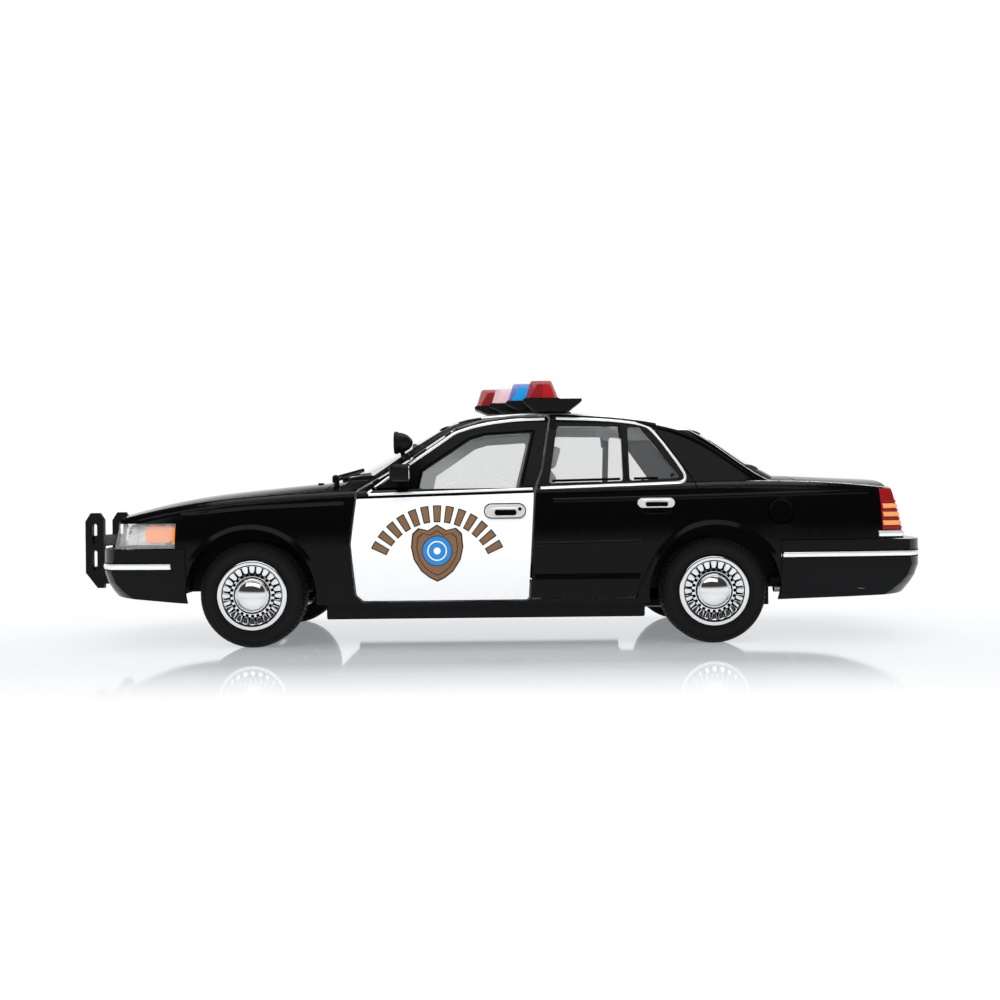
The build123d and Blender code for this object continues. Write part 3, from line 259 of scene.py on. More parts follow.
FINISHES = {
    # finish: the nodes that take it, with * for left and right
    "body": "body_shell",
    "black": "hood trunk_lid front_bumper rear_bumper header_backing",
    "door": "door_*",
    "chrome": "grille front_wheel_* rear_wheel_*",
    "bright": "door_handle_* rear_door_handle_*",
    "plastic": "mirror_* wipers spotlight_* light_bar_base",
    "under": "chassis tie_rod knuckle_*",
    "satin": "push_bar",
    "steel": "exhaust rear_axle",
    "grey": "cabin_tub dashboard door_card_*",
    "cloth": "front_seat_* rear_bench",
    "grey_mid": "steering_wheel",
    "engine": "engine",
    "rubber": "front_tyre_* rear_tyre_*",
    "glass": "windshield rear_window rear_door_glass_*",
    "clear": "headlamp_* turn_lamp_*",
    "tail": "tail_lamp_*",
    "pod_red": "light_bar_red",
    "pod_blue": "light_bar_blue",
    "pod_clear": "light_bar_clear",
}


def finish_nodes(side):
    """Gives the frame's nodes of one side, and those in the middle, their finish."""
    for key, names in FINISHES.items():
        for name in names.split():
            slots = nodes[name.replace("*", side)].data.materials
            slots.clear()
            slots.append(M[key])


# Shapes. Each gives a closed part: its points in millimetres and its faces.
UP = ((1, 0, 0), (0, 1, 0), (0, 0, 1))
DOWN = ((1, 0, 0), (0, 1, 0), (0, 0, -1))
AHEAD = ((0, 1, 0), (0, 0, 1), (-1, 0, 0))
BACK = ((0, 1, 0), (0, 0, 1), (1, 0, 0))
CORNER_STEPS = 4


def basis(origin, ways=UP):
    """A small frame: turns measures along its three ways into a place."""
    start, (u, v, w) = Vector(origin), map(Vector, ways)
    return lambda a, b, c=0: start + u * a + v * b + w * c


def turns(count):
    """Equal turns round a circle."""
    return [tau * i / count for i in range(count)]


def shell(rings, loop=False):
    """Faces through rings of points, with the ends closed or joined in a loop."""
    count = len(rings[0])
    verts = [point for ring in rings for point in ring]
    pairs = list(zip(range(len(rings)), range(1, len(rings))))
    if loop:
        pairs.append((len(rings) - 1, 0))
    faces = []
    for low, high in pairs:
        for i in range(count):
            j = (i + 1) % count
            faces.append((low * count + i, low * count + j, high * count + j, high * count + i))
    if not loop:
        last = (len(rings) - 1) * count
        faces += [tuple(reversed(range(count))), tuple(range(last, last + count))]
    return verts, faces


def drawn_in(outline, gap):
    """An outline moved in by a gap."""
    flat = [Vector(point) for point in outline]
    area = sum(a.x * b.y - b.x * a.y for a, b in zip(flat, flat[1:] + flat[:1]))
    moved = []
    for i, point in enumerate(flat):
        edge = flat[(i + 1) % len(flat)] - flat[i - 1]
        moved.append(point + Vector((-edge.y, edge.x)).normalized() * copysign(gap, area))
    return moved


def slab(place, outline, depth, edge=0.2, sink=0.1):
    """A plate with a rounded rim: an outline raised along the frame's third way."""
    rows = [(0, -sink), (0, depth - edge), (edge * 0.3, depth - edge * 0.3), (edge, depth)]
    return shell([[place(p.x, p.y, c) for p in drawn_in(outline, gap)] for gap, c in rows])


def lathe(place, profile, segments=64, loop=False):
    """A turned form about the frame's third way, from rows of radius and place along it."""
    rings = [[place(r * cos(t), r * sin(t), c) for t in turns(segments)] for r, c in profile]
    return shell(rings, loop)


def way_along(line, i, close=False):
    """The way that a line takes at one of its points."""
    if close:
        return (line[(i + 1) % len(line)] - line[i - 1]).normalized()
    return (line[min(i + 1, len(line) - 1)] - line[max(i - 1, 0)]).normalized()


def tube(points, radius, sides):
    """A round bar along a line of places."""
    line = [Vector(point) for point in points]
    tilt = Vector((0.31, 0.22, 0.92))
    rings = []
    for i, point in enumerate(line):
        way = way_along(line, i)
        across = way.cross(tilt).normalized()
        rise = way.cross(across)
        rings.append([point + (across * cos(t) + rise * sin(t)) * radius for t in turns(sides)])
    return shell(rings)


def oblong(a, b, width, height, radius):
    """The outline of a rounded rectangle about a middle."""
    points = []
    for turn, (sx, sy) in enumerate(((1, 1), (-1, 1), (-1, -1), (1, -1))):
        for i in range(CORNER_STEPS + 1):
            t = radians(90 * turn + 90 * i / CORNER_STEPS)
            middle = (a + sx * (width / 2 - radius), b + sy * (height / 2 - radius))
            points.append((middle[0] + radius * cos(t), middle[1] + radius * sin(t)))
    return points


def circle(a, b, radius, count=32):
    """The outline of a circle about a middle."""
    return [(a + radius * cos(t), b + radius * sin(t)) for t in turns(count)]


def joined(parts):
    """Several parts as one."""
    verts, faces = [], []
    for points, cells in parts:
        faces += [tuple(len(verts) + i for i in cell) for cell in cells]
        verts += points
    return verts, faces


def made(name, material, *parts, body="car", sharp=38):
    """One piece from parts, with its finish and its slot, riding on a body."""
    verts, faces = joined(parts)
    if not faces:
        print("nothing to make for", name)
        return None
    mesh = bpy.data.meshes.new(name)
    mesh.from_pydata([tuple(Vector(point) * MM) for point in verts], [], faces)
    work = bmesh.new()
    work.from_mesh(mesh)
    bmesh.ops.recalc_face_normals(work, faces=work.faces)
    work.to_mesh(mesh)
    work.free()
    mesh.polygons.foreach_set("use_smooth", [True] * len(mesh.polygons))
    mesh.set_sharp_from_angle(angle=radians(sharp))
    mesh.materials.append(M[material])
    piece = bpy.data.objects.new(name, mesh)
    bpy.context.scene.collection.objects.link(piece)
    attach(piece, body)
    return piece


# Surfaces that trim is laid on
FAR = 400
WRAP_MIDDLE = 100
STRIP_COLUMNS = 5
STRIP_SINK = 0.15
PANE_DEPTH = 1
PANE_THICKNESS = 0.4


def surface(*names):
    """A search tree over the meshes of some nodes, in millimetres."""
    meshes = [nodes[name].data for name in names]
    parts = [([v.co / MM for v in mesh.vertices], [p.vertices for p in mesh.polygons]) for mesh in meshes]
    return BVHTree.FromPolygons(*joined(parts))


def box_of(name):
    """A node's low and high corner in millimetres."""
    return [Vector(corner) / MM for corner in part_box(name)]


def wrap_view(middle):
    """A view that turns round an upright line: its first measure is an angle in degrees."""

    def ray(a, b):
        way = Vector((cos(radians(a)), sin(radians(a)), 0))
        return Vector((middle, 0, b)) + way * FAR, -way

    return ray


VIEWS = {
    # view: a flat point gives a ray's start and its way
    "left": lambda a, b: ((a, -FAR, b), (0, 1, 0)),
    "right": lambda a, b: ((a, FAR, b), (0, -1, 0)),
    "front": lambda a, b: ((-FAR, a, b), (1, 0, 0)),
    "rear": lambda a, b: ((FAR, a, b), (-1, 0, 0)),
    "top": lambda a, b: ((a, b, FAR), (0, 0, -1)),
    "bottom": lambda a, b: ((a, b, -FAR), (0, 0, 1)),
    "in_left": lambda a, b: ((a, 0, b), (0, -1, 0)),
    "in_right": lambda a, b: ((a, 0, b), (0, 1, 0)),
    "nose": wrap_view(-WRAP_MIDDLE),
    "stern": wrap_view(WRAP_MIDDLE),
}


def on_surface(tree, view, a, b):
    """The point and the outward normal where a flat point meets the surface."""
    start, way = map(Vector, VIEWS[view](a, b))
    point, normal, _, _ = tree.ray_cast(start, way)
    if point is None:
        return None, None
    return point, -normal if normal.dot(way) > 0 else normal


def resampled(points, step):
    """Points spaced along a line of straight runs."""
    spaced = [Vector(points[0])]
    for start, end in zip(points, points[1:]):
        start, end = Vector(start), Vector(end)
        count = max(1, round((end - start).length / step))
        spaced += [start.lerp(end, i / count) for i in range(1, count + 1)]
    return spaced


def ring_of(outline, step):
    """The same round a closed outline."""
    return resampled([*outline, outline[0]], step)[:-1]


def smoothed(points, passes=2):
    """Rounds the corners of an open line by cutting them."""
    line = [Vector(point) for point in points]
    for _ in range(passes):
        cut = [start.lerp(end, share) for start, end in zip(line, line[1:]) for share in (0.25, 0.75)]
        line = [line[0], *cut, line[-1]]
    return line


def ribbon(tree, view, points, width, height, step=1.2, close=False, lean=False):
    """A strip laid on a surface along a line seen in one view, in runs where the surface goes on.

    It is crowned, or with lean it rises from its left edge to its right one.
    """
    line = ring_of(points, step) if close else resampled(points, step)
    runs = [[]]
    for i, point in enumerate(line):
        ahead = way_along(line, i, close)
        cross = Vector((-ahead.y, ahead.x))
        top, low = [], []
        for column in range(STRIP_COLUMNS):
            t = 2 * column / (STRIP_COLUMNS - 1) - 1
            flat = point + cross * (t * width / 2)
            hit, normal = on_surface(tree, view, flat.x, flat.y)
            if hit is None:
                break
            rise = 0.05 + 0.475 * (1 - t) if lean else sqrt(1 - 0.9 * t * t)
            top.append(hit + normal * height * rise)
            low.append(hit - normal * STRIP_SINK)
        step_out = runs[-1] and top and (top[0] - runs[-1][-1][0]).length > 2 * step
        if len(top) < STRIP_COLUMNS or step_out:
            runs.append([])
        if len(top) == STRIP_COLUMNS:
            runs[-1].append(top + low[::-1])
    whole = close and len(runs) == 1
    return joined(shell(rings, loop=whole) for rings in runs if len(rings) > 1)


def patch(tree, view, outline, rings, lift):
    """A thin shape laid on a surface: rings of its outline shrink to its middle, above and below."""
    flat = ring_of(outline, 0.8)
    middle = sum(flat, Vector((0, 0))) / len(flat)
    shares = [1 - ring / rings for ring in range(rings)] + [0.02]
    layers = []
    for height, order in ((-0.05, shares[::-1]), (lift, shares)):
        for share in order:
            spots = [middle + (point - middle) * share for point in flat]
            hits = [on_surface(tree, view, spot.x, spot.y) for spot in spots]
            if any(hit is None for hit, _ in hits):
                return [], []
            layers.append([hit + normal * height for hit, normal in hits])
    return shell(layers)


def pane(tree, view, outline):
    """A thin curved sheet set behind the rim of an opening whose outline lies on a surface."""
    rim = [on_surface(tree, view, p.x, p.y)[0] for p in ring_of(outline, 1.2)]
    middle = sum(rim, Vector()) / len(rim)
    inward = Vector(VIEWS[view](0, 0)[1])
    layers = []
    for back, shares in ((PANE_DEPTH + PANE_THICKNESS, (0.02, 0.5, 1)), (PANE_DEPTH, (1, 0.5, 0.02))):
        layers += [[middle + (point - middle) * share + inward * back for point in rim] for share in shares]
    return shell(layers)


def laid(name, material, *strip, body="car", **more):
    """A piece that is one strip."""
    made(name, material, ribbon(*strip, **more), body=body)


def printed(name, material, *print_rows, body="car"):
    """A piece that is one thin shape."""
    made(name, material, patch(*print_rows), body=body)


# Wheels and tyres
FRONT_AXLE = -85.6
REAR_AXLE = 76.2
HUB_HEIGHT = 18.5
WHEEL_PLANE = 44.4
TYRE_PROFILE = [
    # radius and place across, from the bead to the middle of the tread
    (12.32, 5.2), (12.7, 5.72), (13.1, 6.08), (13.45, 6.15), (13.6, 6), (13.75, 6), (13.9, 6.14),
    (15, 6.22), (15.9, 6.22), (16.25, 6.1), (16.3, 5.92), (16.5, 5.86), (16.55, 6), (17, 5.84),
    (17.05, 5.66), (17.25, 5.56), (17.3, 5.68), (17.85, 5.3), (18.2, 4.75), (18.42, 4.2), (18.5, 3.8),
    (18.5, 2.78), (18, 2.68), (18, 2.22), (18.5, 2.12), (18.5, 0.75), (18, 0.65), (18, 0.25),
    (18.5, 0.15),
]
TREAD_BLOCKS = 64
BLOCK_SHARES = [(0, 1), (0.14, 1), (0.19, 0), (0.95, 0)]
SIPE_DEPTH = 0.5
TREAD_RADIUS = 18.1
SHOULDER = 3.3
SHOULDER_RADIUS = 17.8
DISH_RADIUS = 9.67
PAD_COUNT = 24
PADS_INNER = 8.05
PADS_OUTER = 10.35
VALVE_RADIUS = 10.9
VALVE_ANGLE = radians(-62)
HUB_DOME = [
    (4.85, 6.2), (4.82, 6.62), (4.3, 7), (3.5, 7.42), (2.6, 7.76), (1.7, 7.98), (0.8, 8.1), (0.04, 8.13),
]
COVER_PARTS = [
    # name, finish, segments, closed sections, edge angle, sections as rows of radius and place across
    ("cover_wells", "black_and_shade", 96, True, 38, [
        [(7.75, 5.2), (7.75, 5.42), (9.6, 5.1), (10.75, 6.12), (10.75, 5.4), (9.6, 4.9)],
        [(6.15, 5.4), (6.15, 5.78), (6.5, 5.7), (6.5, 5.3)],
    ]),
    ("cover_rings", "chrome", 96, True, 50, [
        [(10.72, 5.9), (10.72, 6.32), (11, 6.42), (11.6, 6.42), (12.15, 6.28), (12.3, 6), (12.2, 5.6)],
        [(5.15, 6), (5.25, 6.55), (5.5, 6.72), (5.8, 6.6), (6.1, 6.1), (6.1, 5.5), (5.2, 5.6)],
        [(6.5, 5.4), (6.52, 5.86), (6.7, 5.86), (6.75, 5.4)],
    ]),
    ("hub_dome", "chrome", 64, False, 38, [HUB_DOME]),
    ("brake_disc", "black_and_shade", 48, True, 38, [[(4.3, 0.5), (4.3, 1.6), (9.4, 1.6), (9.6, 1.4), (9.6, 0.5)]]),
]


def tyre(place):
    """A tyre with grooves round it and cuts across it, and rings on its walls."""
    rows = TYRE_PROFILE + [(r, -c) for r, c in reversed(TYRE_PROFILE)]
    rings = []
    for block in range(TREAD_BLOCKS):
        for share, cut in BLOCK_SHARES:
            ring = []
            for r, c in rows:
                shoulder = abs(c) > SHOULDER
                shift = 0 if shoulder else (0.5 if c > 0 else 0.25)
                t = tau * (block + share + shift) / TREAD_BLOCKS
                deep = 0
                if r > TREAD_RADIUS:
                    deep = SIPE_DEPTH * cut
                elif r > SHOULDER_RADIUS and shoulder:
                    deep = SIPE_DEPTH * 0.5 * cut
                ring.append(place((r - deep) * cos(t), (r - deep) * sin(t), c))
            rings.append(ring)
    return shell(rings, loop=True)


def cover_depth(r):
    """How far out the wheel cover's dished face stands at a radius."""
    return 5 + (DISH_RADIUS - r) * (0.18 if r < DISH_RADIUS else -1.2)


def pad_outline(turn):
    """One pad of the cover: narrow inside and wide outside, with rounded ends."""
    corners = [(PADS_INNER, -0.72), (PADS_OUTER - 0.5, -1.13), (PADS_OUTER, -0.7), (PADS_OUTER + 0.12, 0)]
    corners += [(PADS_OUTER, 0.7), (PADS_OUTER - 0.5, 1.13), (PADS_INNER, 0.72), (PADS_INNER - 0.35, 0)]
    c, s = cos(turn), sin(turn)
    return [(r * c - across * s, r * s + across * c) for r, across in corners]


def wheels(side):
    """Tyres that stand for the plain ones, and the covers' pads and turned parts, discs and valves."""
    ways = ((1, 0, 0), (0, 0, 1), (0, SIDES[side], 0))
    for end, x, body in (("front", FRONT_AXLE, f"front_wheel_{side}"), ("rear", REAR_AXLE, "rear_wheels")):
        place = basis((x, SIDES[side] * WHEEL_PLANE, HUB_HEIGHT), ways)
        piece = made(f"{end}_tread_{side}", "rubber", tyre(place), body=body, sharp=25)
        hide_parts(f"{end}_tyre_{side}")
        dished = lambda a, b, c: place(a, b, c + cover_depth(hypot(a, b)))
        pads = [slab(dished, pad_outline(turn), 0.55, 0.3, 0.2) for turn in turns(PAD_COUNT)]
        made(f"{end}_cover_pads_{side}", "chrome", *pads, body=body, sharp=60)
        for name, material, segments, loop, sharp, sections in COVER_PARTS:
            turned = [lathe(place, section, segments, loop) for section in sections]
            made(f"{end}_{name}_{side}", material, *turned, body=body, sharp=sharp)
        spot = place(VALVE_RADIUS * cos(VALVE_ANGLE), VALVE_RADIUS * sin(VALVE_ANGLE), 6.2)
        valve = lathe(basis(spot, ways), [(0.28, 0), (0.28, 0.6), (0.2, 0.75)], 10)
        made(f"{end}_valve_{side}", "plastic", valve, body=body)


# Lines along the sides, as rows of place along and height, seen from the side
DOOR_FRAME_LINE = [
    (-44.6, 53.6), (-43.8, 54.9), (-37.2, 59.8), (-31.2, 63.6), (-16.3, 73.9),
    (-13.9, 75.5), (-4.8, 78.3), (6.7, 79.8), (17.9, 80.1),
]
DOOR_BELT_LINE = [(-44.4, 53.3), (-16, 54.05), (13, 54.75)]
REAR_FRAME_LINE = [
    (20.3, 80.3), (40, 79.6), (53, 78), (57, 75.4), (66.5, 61.5),
    (67.6, 58), (66.2, 56.6), (60, 56.3), (14.4, 55),
]
FRONT_WINDOW_LINE = [
    (-28.2, 54.3), (9, 54.6), (14.1, 75.8), (-3.5, 74.9), (-9.3, 73.3), (-16.7, 68.4), (-26.5, 61.9),
]
REAR_GLASS_LINE = [(17.6, 57.4), (61.2, 58.1), (64.6, 60.2), (54.6, 75.6), (50, 77), (21.6, 78.1)]
GLASS_BAR_LINE = [(46.6, 57.6), (44.6, 77.4)]
UPPER_CREASE = [(20, 50.6), (60, 51.2), (100, 52), (131, 52.6)]
FENDER_CREASE = [(-110, 47), (-85, 49.2), (-53, 50.4)]
LOWER_CREASE = [(13.4, 24.2), (50, 24.2)]
MOULDING_REAR = [(13.6, 35.4), (50.5, 35.9)]
FUEL_DOOR = circle(99.3, 46, 4.2)
ARCH_RADIUS = 24
ARCH_STEPS = 40

# The deep panel below the doors: its section as rows of place across and height
SILL_SECTION = [
    (49, 15.6), (51, 15.6), (51.3, 15.2), (51.1, 12.5), (50.8, 10.4),
    (50.3, 9.8), (47.2, 9.8), (46.8, 10.2), (46.8, 12), (49, 12),
]
SILL_FRONT = -59.4
SILL_REAR = 51.8
SILL_EDGE = 0.4


def arch_line(x, first, last):
    """A wheel arch's edge, seen from the side, between two angles."""
    angles = [radians(first + (last - first) * i / ARCH_STEPS) for i in range(ARCH_STEPS + 1)]
    return [(x + ARCH_RADIUS * cos(t), HUB_HEIGHT + ARCH_RADIUS * sin(t)) for t in angles]


def side_trim(side):
    """Window frames, belts, gaskets, panes, mouldings, creases with painted shade along the lower one, and
    arch lips of a side.
    """
    door, rides = surface(f"door_{side}"), f"door_{side}"
    body, with_glass = surface("body_shell"), surface("body_shell", f"rear_door_glass_{side}")
    belt_rubber = [(x, z - 0.85) for x, z in DOOR_BELT_LINE]
    strips = [
        # name, finish, surface, line, width, height, body, and whether it leans
        ("door_frame_chrome", "bright", door, smoothed(DOOR_FRAME_LINE), 0.95, 0.35, rides, False),
        ("door_belt_chrome", "bright", door, DOOR_BELT_LINE, 0.85, 0.35, rides, False),
        ("door_belt_rubber", "black_and_shade", door, belt_rubber, 0.8, 0.2, rides, False),
        ("rear_frame_chrome", "bright", with_glass, smoothed(REAR_FRAME_LINE), 0.95, 0.35, "car", False),
        ("rear_moulding", "black", body, MOULDING_REAR, 1.7, 0.6, "car", False),
        ("upper_crease", "black", body, UPPER_CREASE, 1.5, 0.35, "car", False),
        ("fender_crease", "black", body, FENDER_CREASE, 1.4, 0.32, "car", True),
        # the lower crease's shade, painted as a near-black strip along it
        ("lower_crease_shade", "black_and_shade", body, LOWER_CREASE, 2, 0.3, "car", False),
        ("front_arch_lip", "black", body, arch_line(FRONT_AXLE, 178, -6), 1.7, 0.6, "car", True),
        ("rear_arch_lip", "black", body, arch_line(REAR_AXLE, 186, 2), 1.7, 0.6, "car", True),
    ]
    for name, material, tree, line, width, height, carrier, lean in strips:
        laid(f"{name}_{side}", material, tree, side, line, width, height, body=carrier, lean=lean)
    gasket = (door, side, FRONT_WINDOW_LINE, 0.7, 0.25)
    laid(f"window_gasket_{side}", "black_and_shade", *gasket, body=rides, close=True, step=0.8)
    made(f"door_pane_{side}", "glass", pane(door, side, FRONT_WINDOW_LINE), body=rides)
    if side == "left":
        laid("fuel_door_rim", "black", body, side, FUEL_DOOR, 0.6, 0.3, close=True, lean=True)
    laid(f"rear_glass_bar_{side}", "plastic", with_glass, side, GLASS_BAR_LINE, 1, 0.3)
    glass, rim = surface(f"rear_door_glass_{side}"), drawn_in(REAR_GLASS_LINE, 0.2)
    laid(f"rear_glass_gasket_{side}", "black_and_shade", glass, side, rim, 0.8, 0.22, close=True)


def sill(side):
    """The panel under the doors, with eased ends."""
    stations = [(SILL_FRONT, SILL_EDGE), (SILL_FRONT + SILL_EDGE, 0)]
    stations += [(SILL_REAR - SILL_EDGE, 0), (SILL_REAR, SILL_EDGE)]
    rings = [[(x, SIDES[side] * p.x, p.y) for p in drawn_in(SILL_SECTION, gap)] for x, gap in stations]
    made(f"sill_{side}", "black", shell(rings))


# Both ends
FRONT_STRIP_HEIGHT = 29
REAR_STRIP_HEIGHT = 31
PLATE_HEIGHT = 25
LAMP_HEIGHT = 39.8
BEAMS = (31, 41)
LAMP_BOWL = [(3.2, 0.1), (3.25, 0.5), (3, 0.6), (2.2, 0.35), (0.9, 0.3), (0.7, 0.9), (0.3, 1.2)]
TAIL_STRIPS = [
    # name, finish, heights, ends as angles, width
    ("tail_bars", "amber_pale", (47.5, 44.6, 41.6), (55.6, 36), 1.6),
    ("tail_ridges", "tail", (49.2, 46, 43.1, 40.1), (57, 30), 0.8),
]


def bumper_trim():
    """The bright strips round both bumpers with their dark beds, the rear plate and the air slots."""
    front, rear = surface("front_bumper"), surface("rear_bumper")
    runs = [
        ("front_strip", front, "nose", (103.8, 256.2), FRONT_STRIP_HEIGHT, 1.9),
        ("rear_strip", rear, "stern", (91, -91), REAR_STRIP_HEIGHT, 1.6),
    ]
    for name, tree, view, ends, z, width in runs:
        line = [(angle, z) for angle in ends]
        laid(f"{name}_bed", "black_and_shade", tree, view, line, width + 0.9, 0.12, step=1)
        laid(name, "bright", tree, view, line, width, 0.42, step=1)
    printed("rear_plate", "white_print", rear, "rear", oblong(0, PLATE_HEIGHT, 17, 8.4, 0.6), 3, 0.35)
    frame_line = oblong(0, PLATE_HEIGHT, 17.4, 8.8, 0.8)
    laid("rear_plate_frame", "chrome", rear, "rear", frame_line, 0.6, 0.55, close=True, step=0.8)
    slots = [ribbon(front, "front", [(-30, z), (30, z)], 1.3, 0.1) for z in (21.2, 23.6)]
    made("front_air_slots", "black_and_shade", *slots)


def lamps(side):
    """Reflectors, bowls and amber blocks behind the front lenses; bars, ridges and foot of the tail lamp."""
    sign = SIDES[side]
    backing = surface("header_backing", "body_shell")
    wrapped = patch(backing, side, oblong(-124, LAMP_HEIGHT, 17, 6.6, 0.8), 6, 0.25)
    ahead = patch(backing, "front", oblong(sign * 37.5, LAMP_HEIGHT, 22, 6.6, 0.8), 6, 0.25)
    made(f"lamp_reflector_{side}", "reflector", wrapped, ahead)
    printed(f"amber_block_{side}", "amber", backing, side, oblong(-117.75, 40, 9.7, 5.8, 1.7), 4, 1.6)
    marker = oblong(-112.1, 39.6, 0.8, 5.9, 0.35)
    printed(f"amber_marker_{side}", "amber", surface(f"turn_lamp_{side}"), side, marker, 2, 0.2)
    spots = [on_surface(backing, "front", sign * y, LAMP_HEIGHT)[0] for y in BEAMS]
    bowls = [lathe(basis(spot, AHEAD), LAMP_BOWL, 32) for spot in spots if spot]
    made(f"lamp_bowls_{side}", "chrome", *bowls)
    tree = surface(f"tail_lamp_{side}")
    for name, material, heights, ends, width in TAIL_STRIPS:
        lines = [[(sign * angle, z) for angle in ends] for z in heights]
        strips = [ribbon(tree, "stern", line, width, 0.35, step=0.5) for line in lines]
        made(f"{name}_{side}", material, *strips)
    tree = surface("body_shell", f"tail_lamp_{side}", "rear_bumper")
    foot = [(sign * 57.3, 37.9), (sign * 30, 37.9)]
    laid(f"tail_foot_chrome_{side}", "bright", tree, "stern", foot, 1.9, 0.55, step=0.5)


def front_trim():
    """The bright frame round the grille and the bar across it."""
    (_, left, low), (_, right, high) = (tuple(v * 1000 for v in corner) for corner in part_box("grille"))
    tree = surface("grille", "header_backing")
    middle = (low + high) / 2
    line = oblong(0, middle, right - left - 0.9, high - low - 0.9, 0.9)
    laid("grille_frame", "chrome", tree, "front", line, 0.9, 0.5, close=True, step=0.8)
    laid("grille_bar", "chrome", tree, "front", [(-20.5, middle), (20.5, middle)], 0.8, 0.4)


# Light bar and fittings
POD_FLOOR = 87.2
PODS = [
    # place along, place across, finish of the core
    (-7.1, 0, "core_red"),
    (-1.2, 11.2, "core_pink"),
    (4.85, 22.3, "core_blue"),
    (11, 33.5, "core_red"),
]
CORE_SECTIONS = [(0.15, 4.6, 4.2), (1.2, 4.55, 4.15), (4.3, 3.1, 3.6), (5.3, 2.6, 3.1), (5.6, 2, 2.5)]
CORE_LEAN = 0.12
BEACON = [(2.9, 0), (2.9, 0.5), (1.4, 0.9), (0.9, 3.8), (1.8, 5), (1.6, 5.2)]
SPOT_LENS = [(3.45, -0.1), (3.45, 0.12), (2.9, 0.35), (1.9, 0.55), (0.8, 0.64), (0.05, 0.66)]
SPOT_BOWL = [(3.4, -0.2), (3.4, 0.05), (2.4, 0.02), (0.6, 0.3)]
SPOT_RIM = [(3.45, 0), (3.5, 0.4), (3.75, 0.45), (3.95, 0.2), (3.95, -0.5), (3.6, -0.4)]
SPOT_JOINT = [(0.9, -1.2), (1.35, -0.9), (1.35, 0.6), (0.9, 1)]
WIPERS = [((-58.6, -24, 60.2), (-52.6, 4, 63.4)), ((-58.6, 5, 60.9), (-52.6, 31, 62.3))]
WIPER_NUT = [(1.3, -1.6), (1.35, 0.5), (1, 1), (0.5, 1.3)]
DRIP_RAIL = [(-13, 36.6), (2, 36.2), (30, 36.3), (48, 37.1), (58, 37.8)]


def light_bar():
    """A core, a beacon and a dark foot inside each pod."""
    for index, (x, y, colour) in enumerate(PODS):
        halves = [(0, 1, colour)]
        if colour == "core_red":
            # a painted shadow darkens its front half
            halves = [(-0.5, 0.45, "core_painted_shadow"), (0.45, 0.5, colour)]
        for side, sign in list(SIDES.items())[: 2 if y else 1]:
            place = basis((x + 6.1, sign * y, POD_FLOOR))
            for part, (shift, share, material) in enumerate(halves):
                rings = []
                for c, half, wide in CORE_SECTIONS:
                    outline = oblong(shift * half, 0, half * 2 * share, wide * 2, 0.6)
                    rings.append([place(a + CORE_LEAN * c, b, c) for a, b in outline])
                made(f"pod_core_{index}_{part}_{side}", material, shell(rings))
            made(f"pod_beacon_{index}_{side}", "reflector", lathe(basis(place(-0.6, 0, 0.4)), BEACON, 24))
            foot = basis((x + 6, sign * y, POD_FLOOR - 0.05))
            made(f"pod_rim_{index}_{side}", "plastic", slab(foot, oblong(0, 0, 12.6, 10.9, 0.6), 0.45, 0.15))


def bar_ends(side):
    """The seam at an end of the bar's base and the foot that it stands on."""
    seam = [(11, 83.6), (6.6, 86.6)]
    laid(f"bar_seam_{side}", "satin", surface("light_bar_base"), side, seam, 0.4, 0.2, step=0.6)
    foot = [(14, SIDES[side] * 37.2), (30, SIDES[side] * 37.2)]
    laid(f"bar_foot_{side}", "plastic", surface("body_shell"), "top", foot, 2.2, 0.9, step=1)


def handles(side):
    """Recesses darkened with painted shade, grips, rims and locks of a side's two handles; the front door's
    rim is a painted shadow line.
    """
    door = f"door_{side}"
    rows = [
        # node, body, surface round it, recess shift and size, grip shift and size, lock shift
        ("door_handle", door, door, (0.2, -0.6, 7.6, 1.9), (0, 0.75, 8.6, 0.85), (5.2, 0.6)),
        ("rear_door_handle", "car", "body_shell", (0.2, -0.5, 7.8, 1.5), (0.1, 0.85, 9.2, 0.7), None),
    ]
    for name, body, skin, recess, grip, lock in rows:
        low, high = box_of(f"{name}_{side}")
        x, z = (low.x + high.x) / 2, (low.z + high.z) / 2
        tree = surface(f"{name}_{side}")
        a, b, wide, tall = recess
        outline = oblong(x + a, z + b, wide, tall, tall * 0.45)
        # a near-black sheet over each recess: painted shade
        printed(f"{name}_recess_{side}", "black_and_shade", tree, side, outline, 3, 0.08, body=body)
        a, b, wide, tall = grip
        line = [(x + a - wide / 2, z + b), (x + a + wide / 2, z + b)]
        laid(f"{name}_grip_{side}", "bright", tree, side, line, tall, 0.65, body=body, step=0.6)
        outline, material = oblong(x + 0.1, z - 1.9, 10.4, 3.8, 1.6), "satin"
        if lock:
            # the front door's rim is near black: a painted shadow line round the handle
            outline = oblong(x, z, high.x - low.x + 0.3, high.z - low.z + 0.3, (high.z - low.z) / 2)
            material = "black_and_shade"
        rim = (surface(skin), side, outline, 0.4, 0.3)
        laid(f"{name}_rim_{side}", material, *rim, body=body, close=True, step=0.6)
        if lock:
            outline = circle(x + lock[0], z + lock[1], 0.62, 16)
            printed(f"{name}_lock_{side}", "black_and_shade", tree, side, outline, 2, 0.15, body=body)


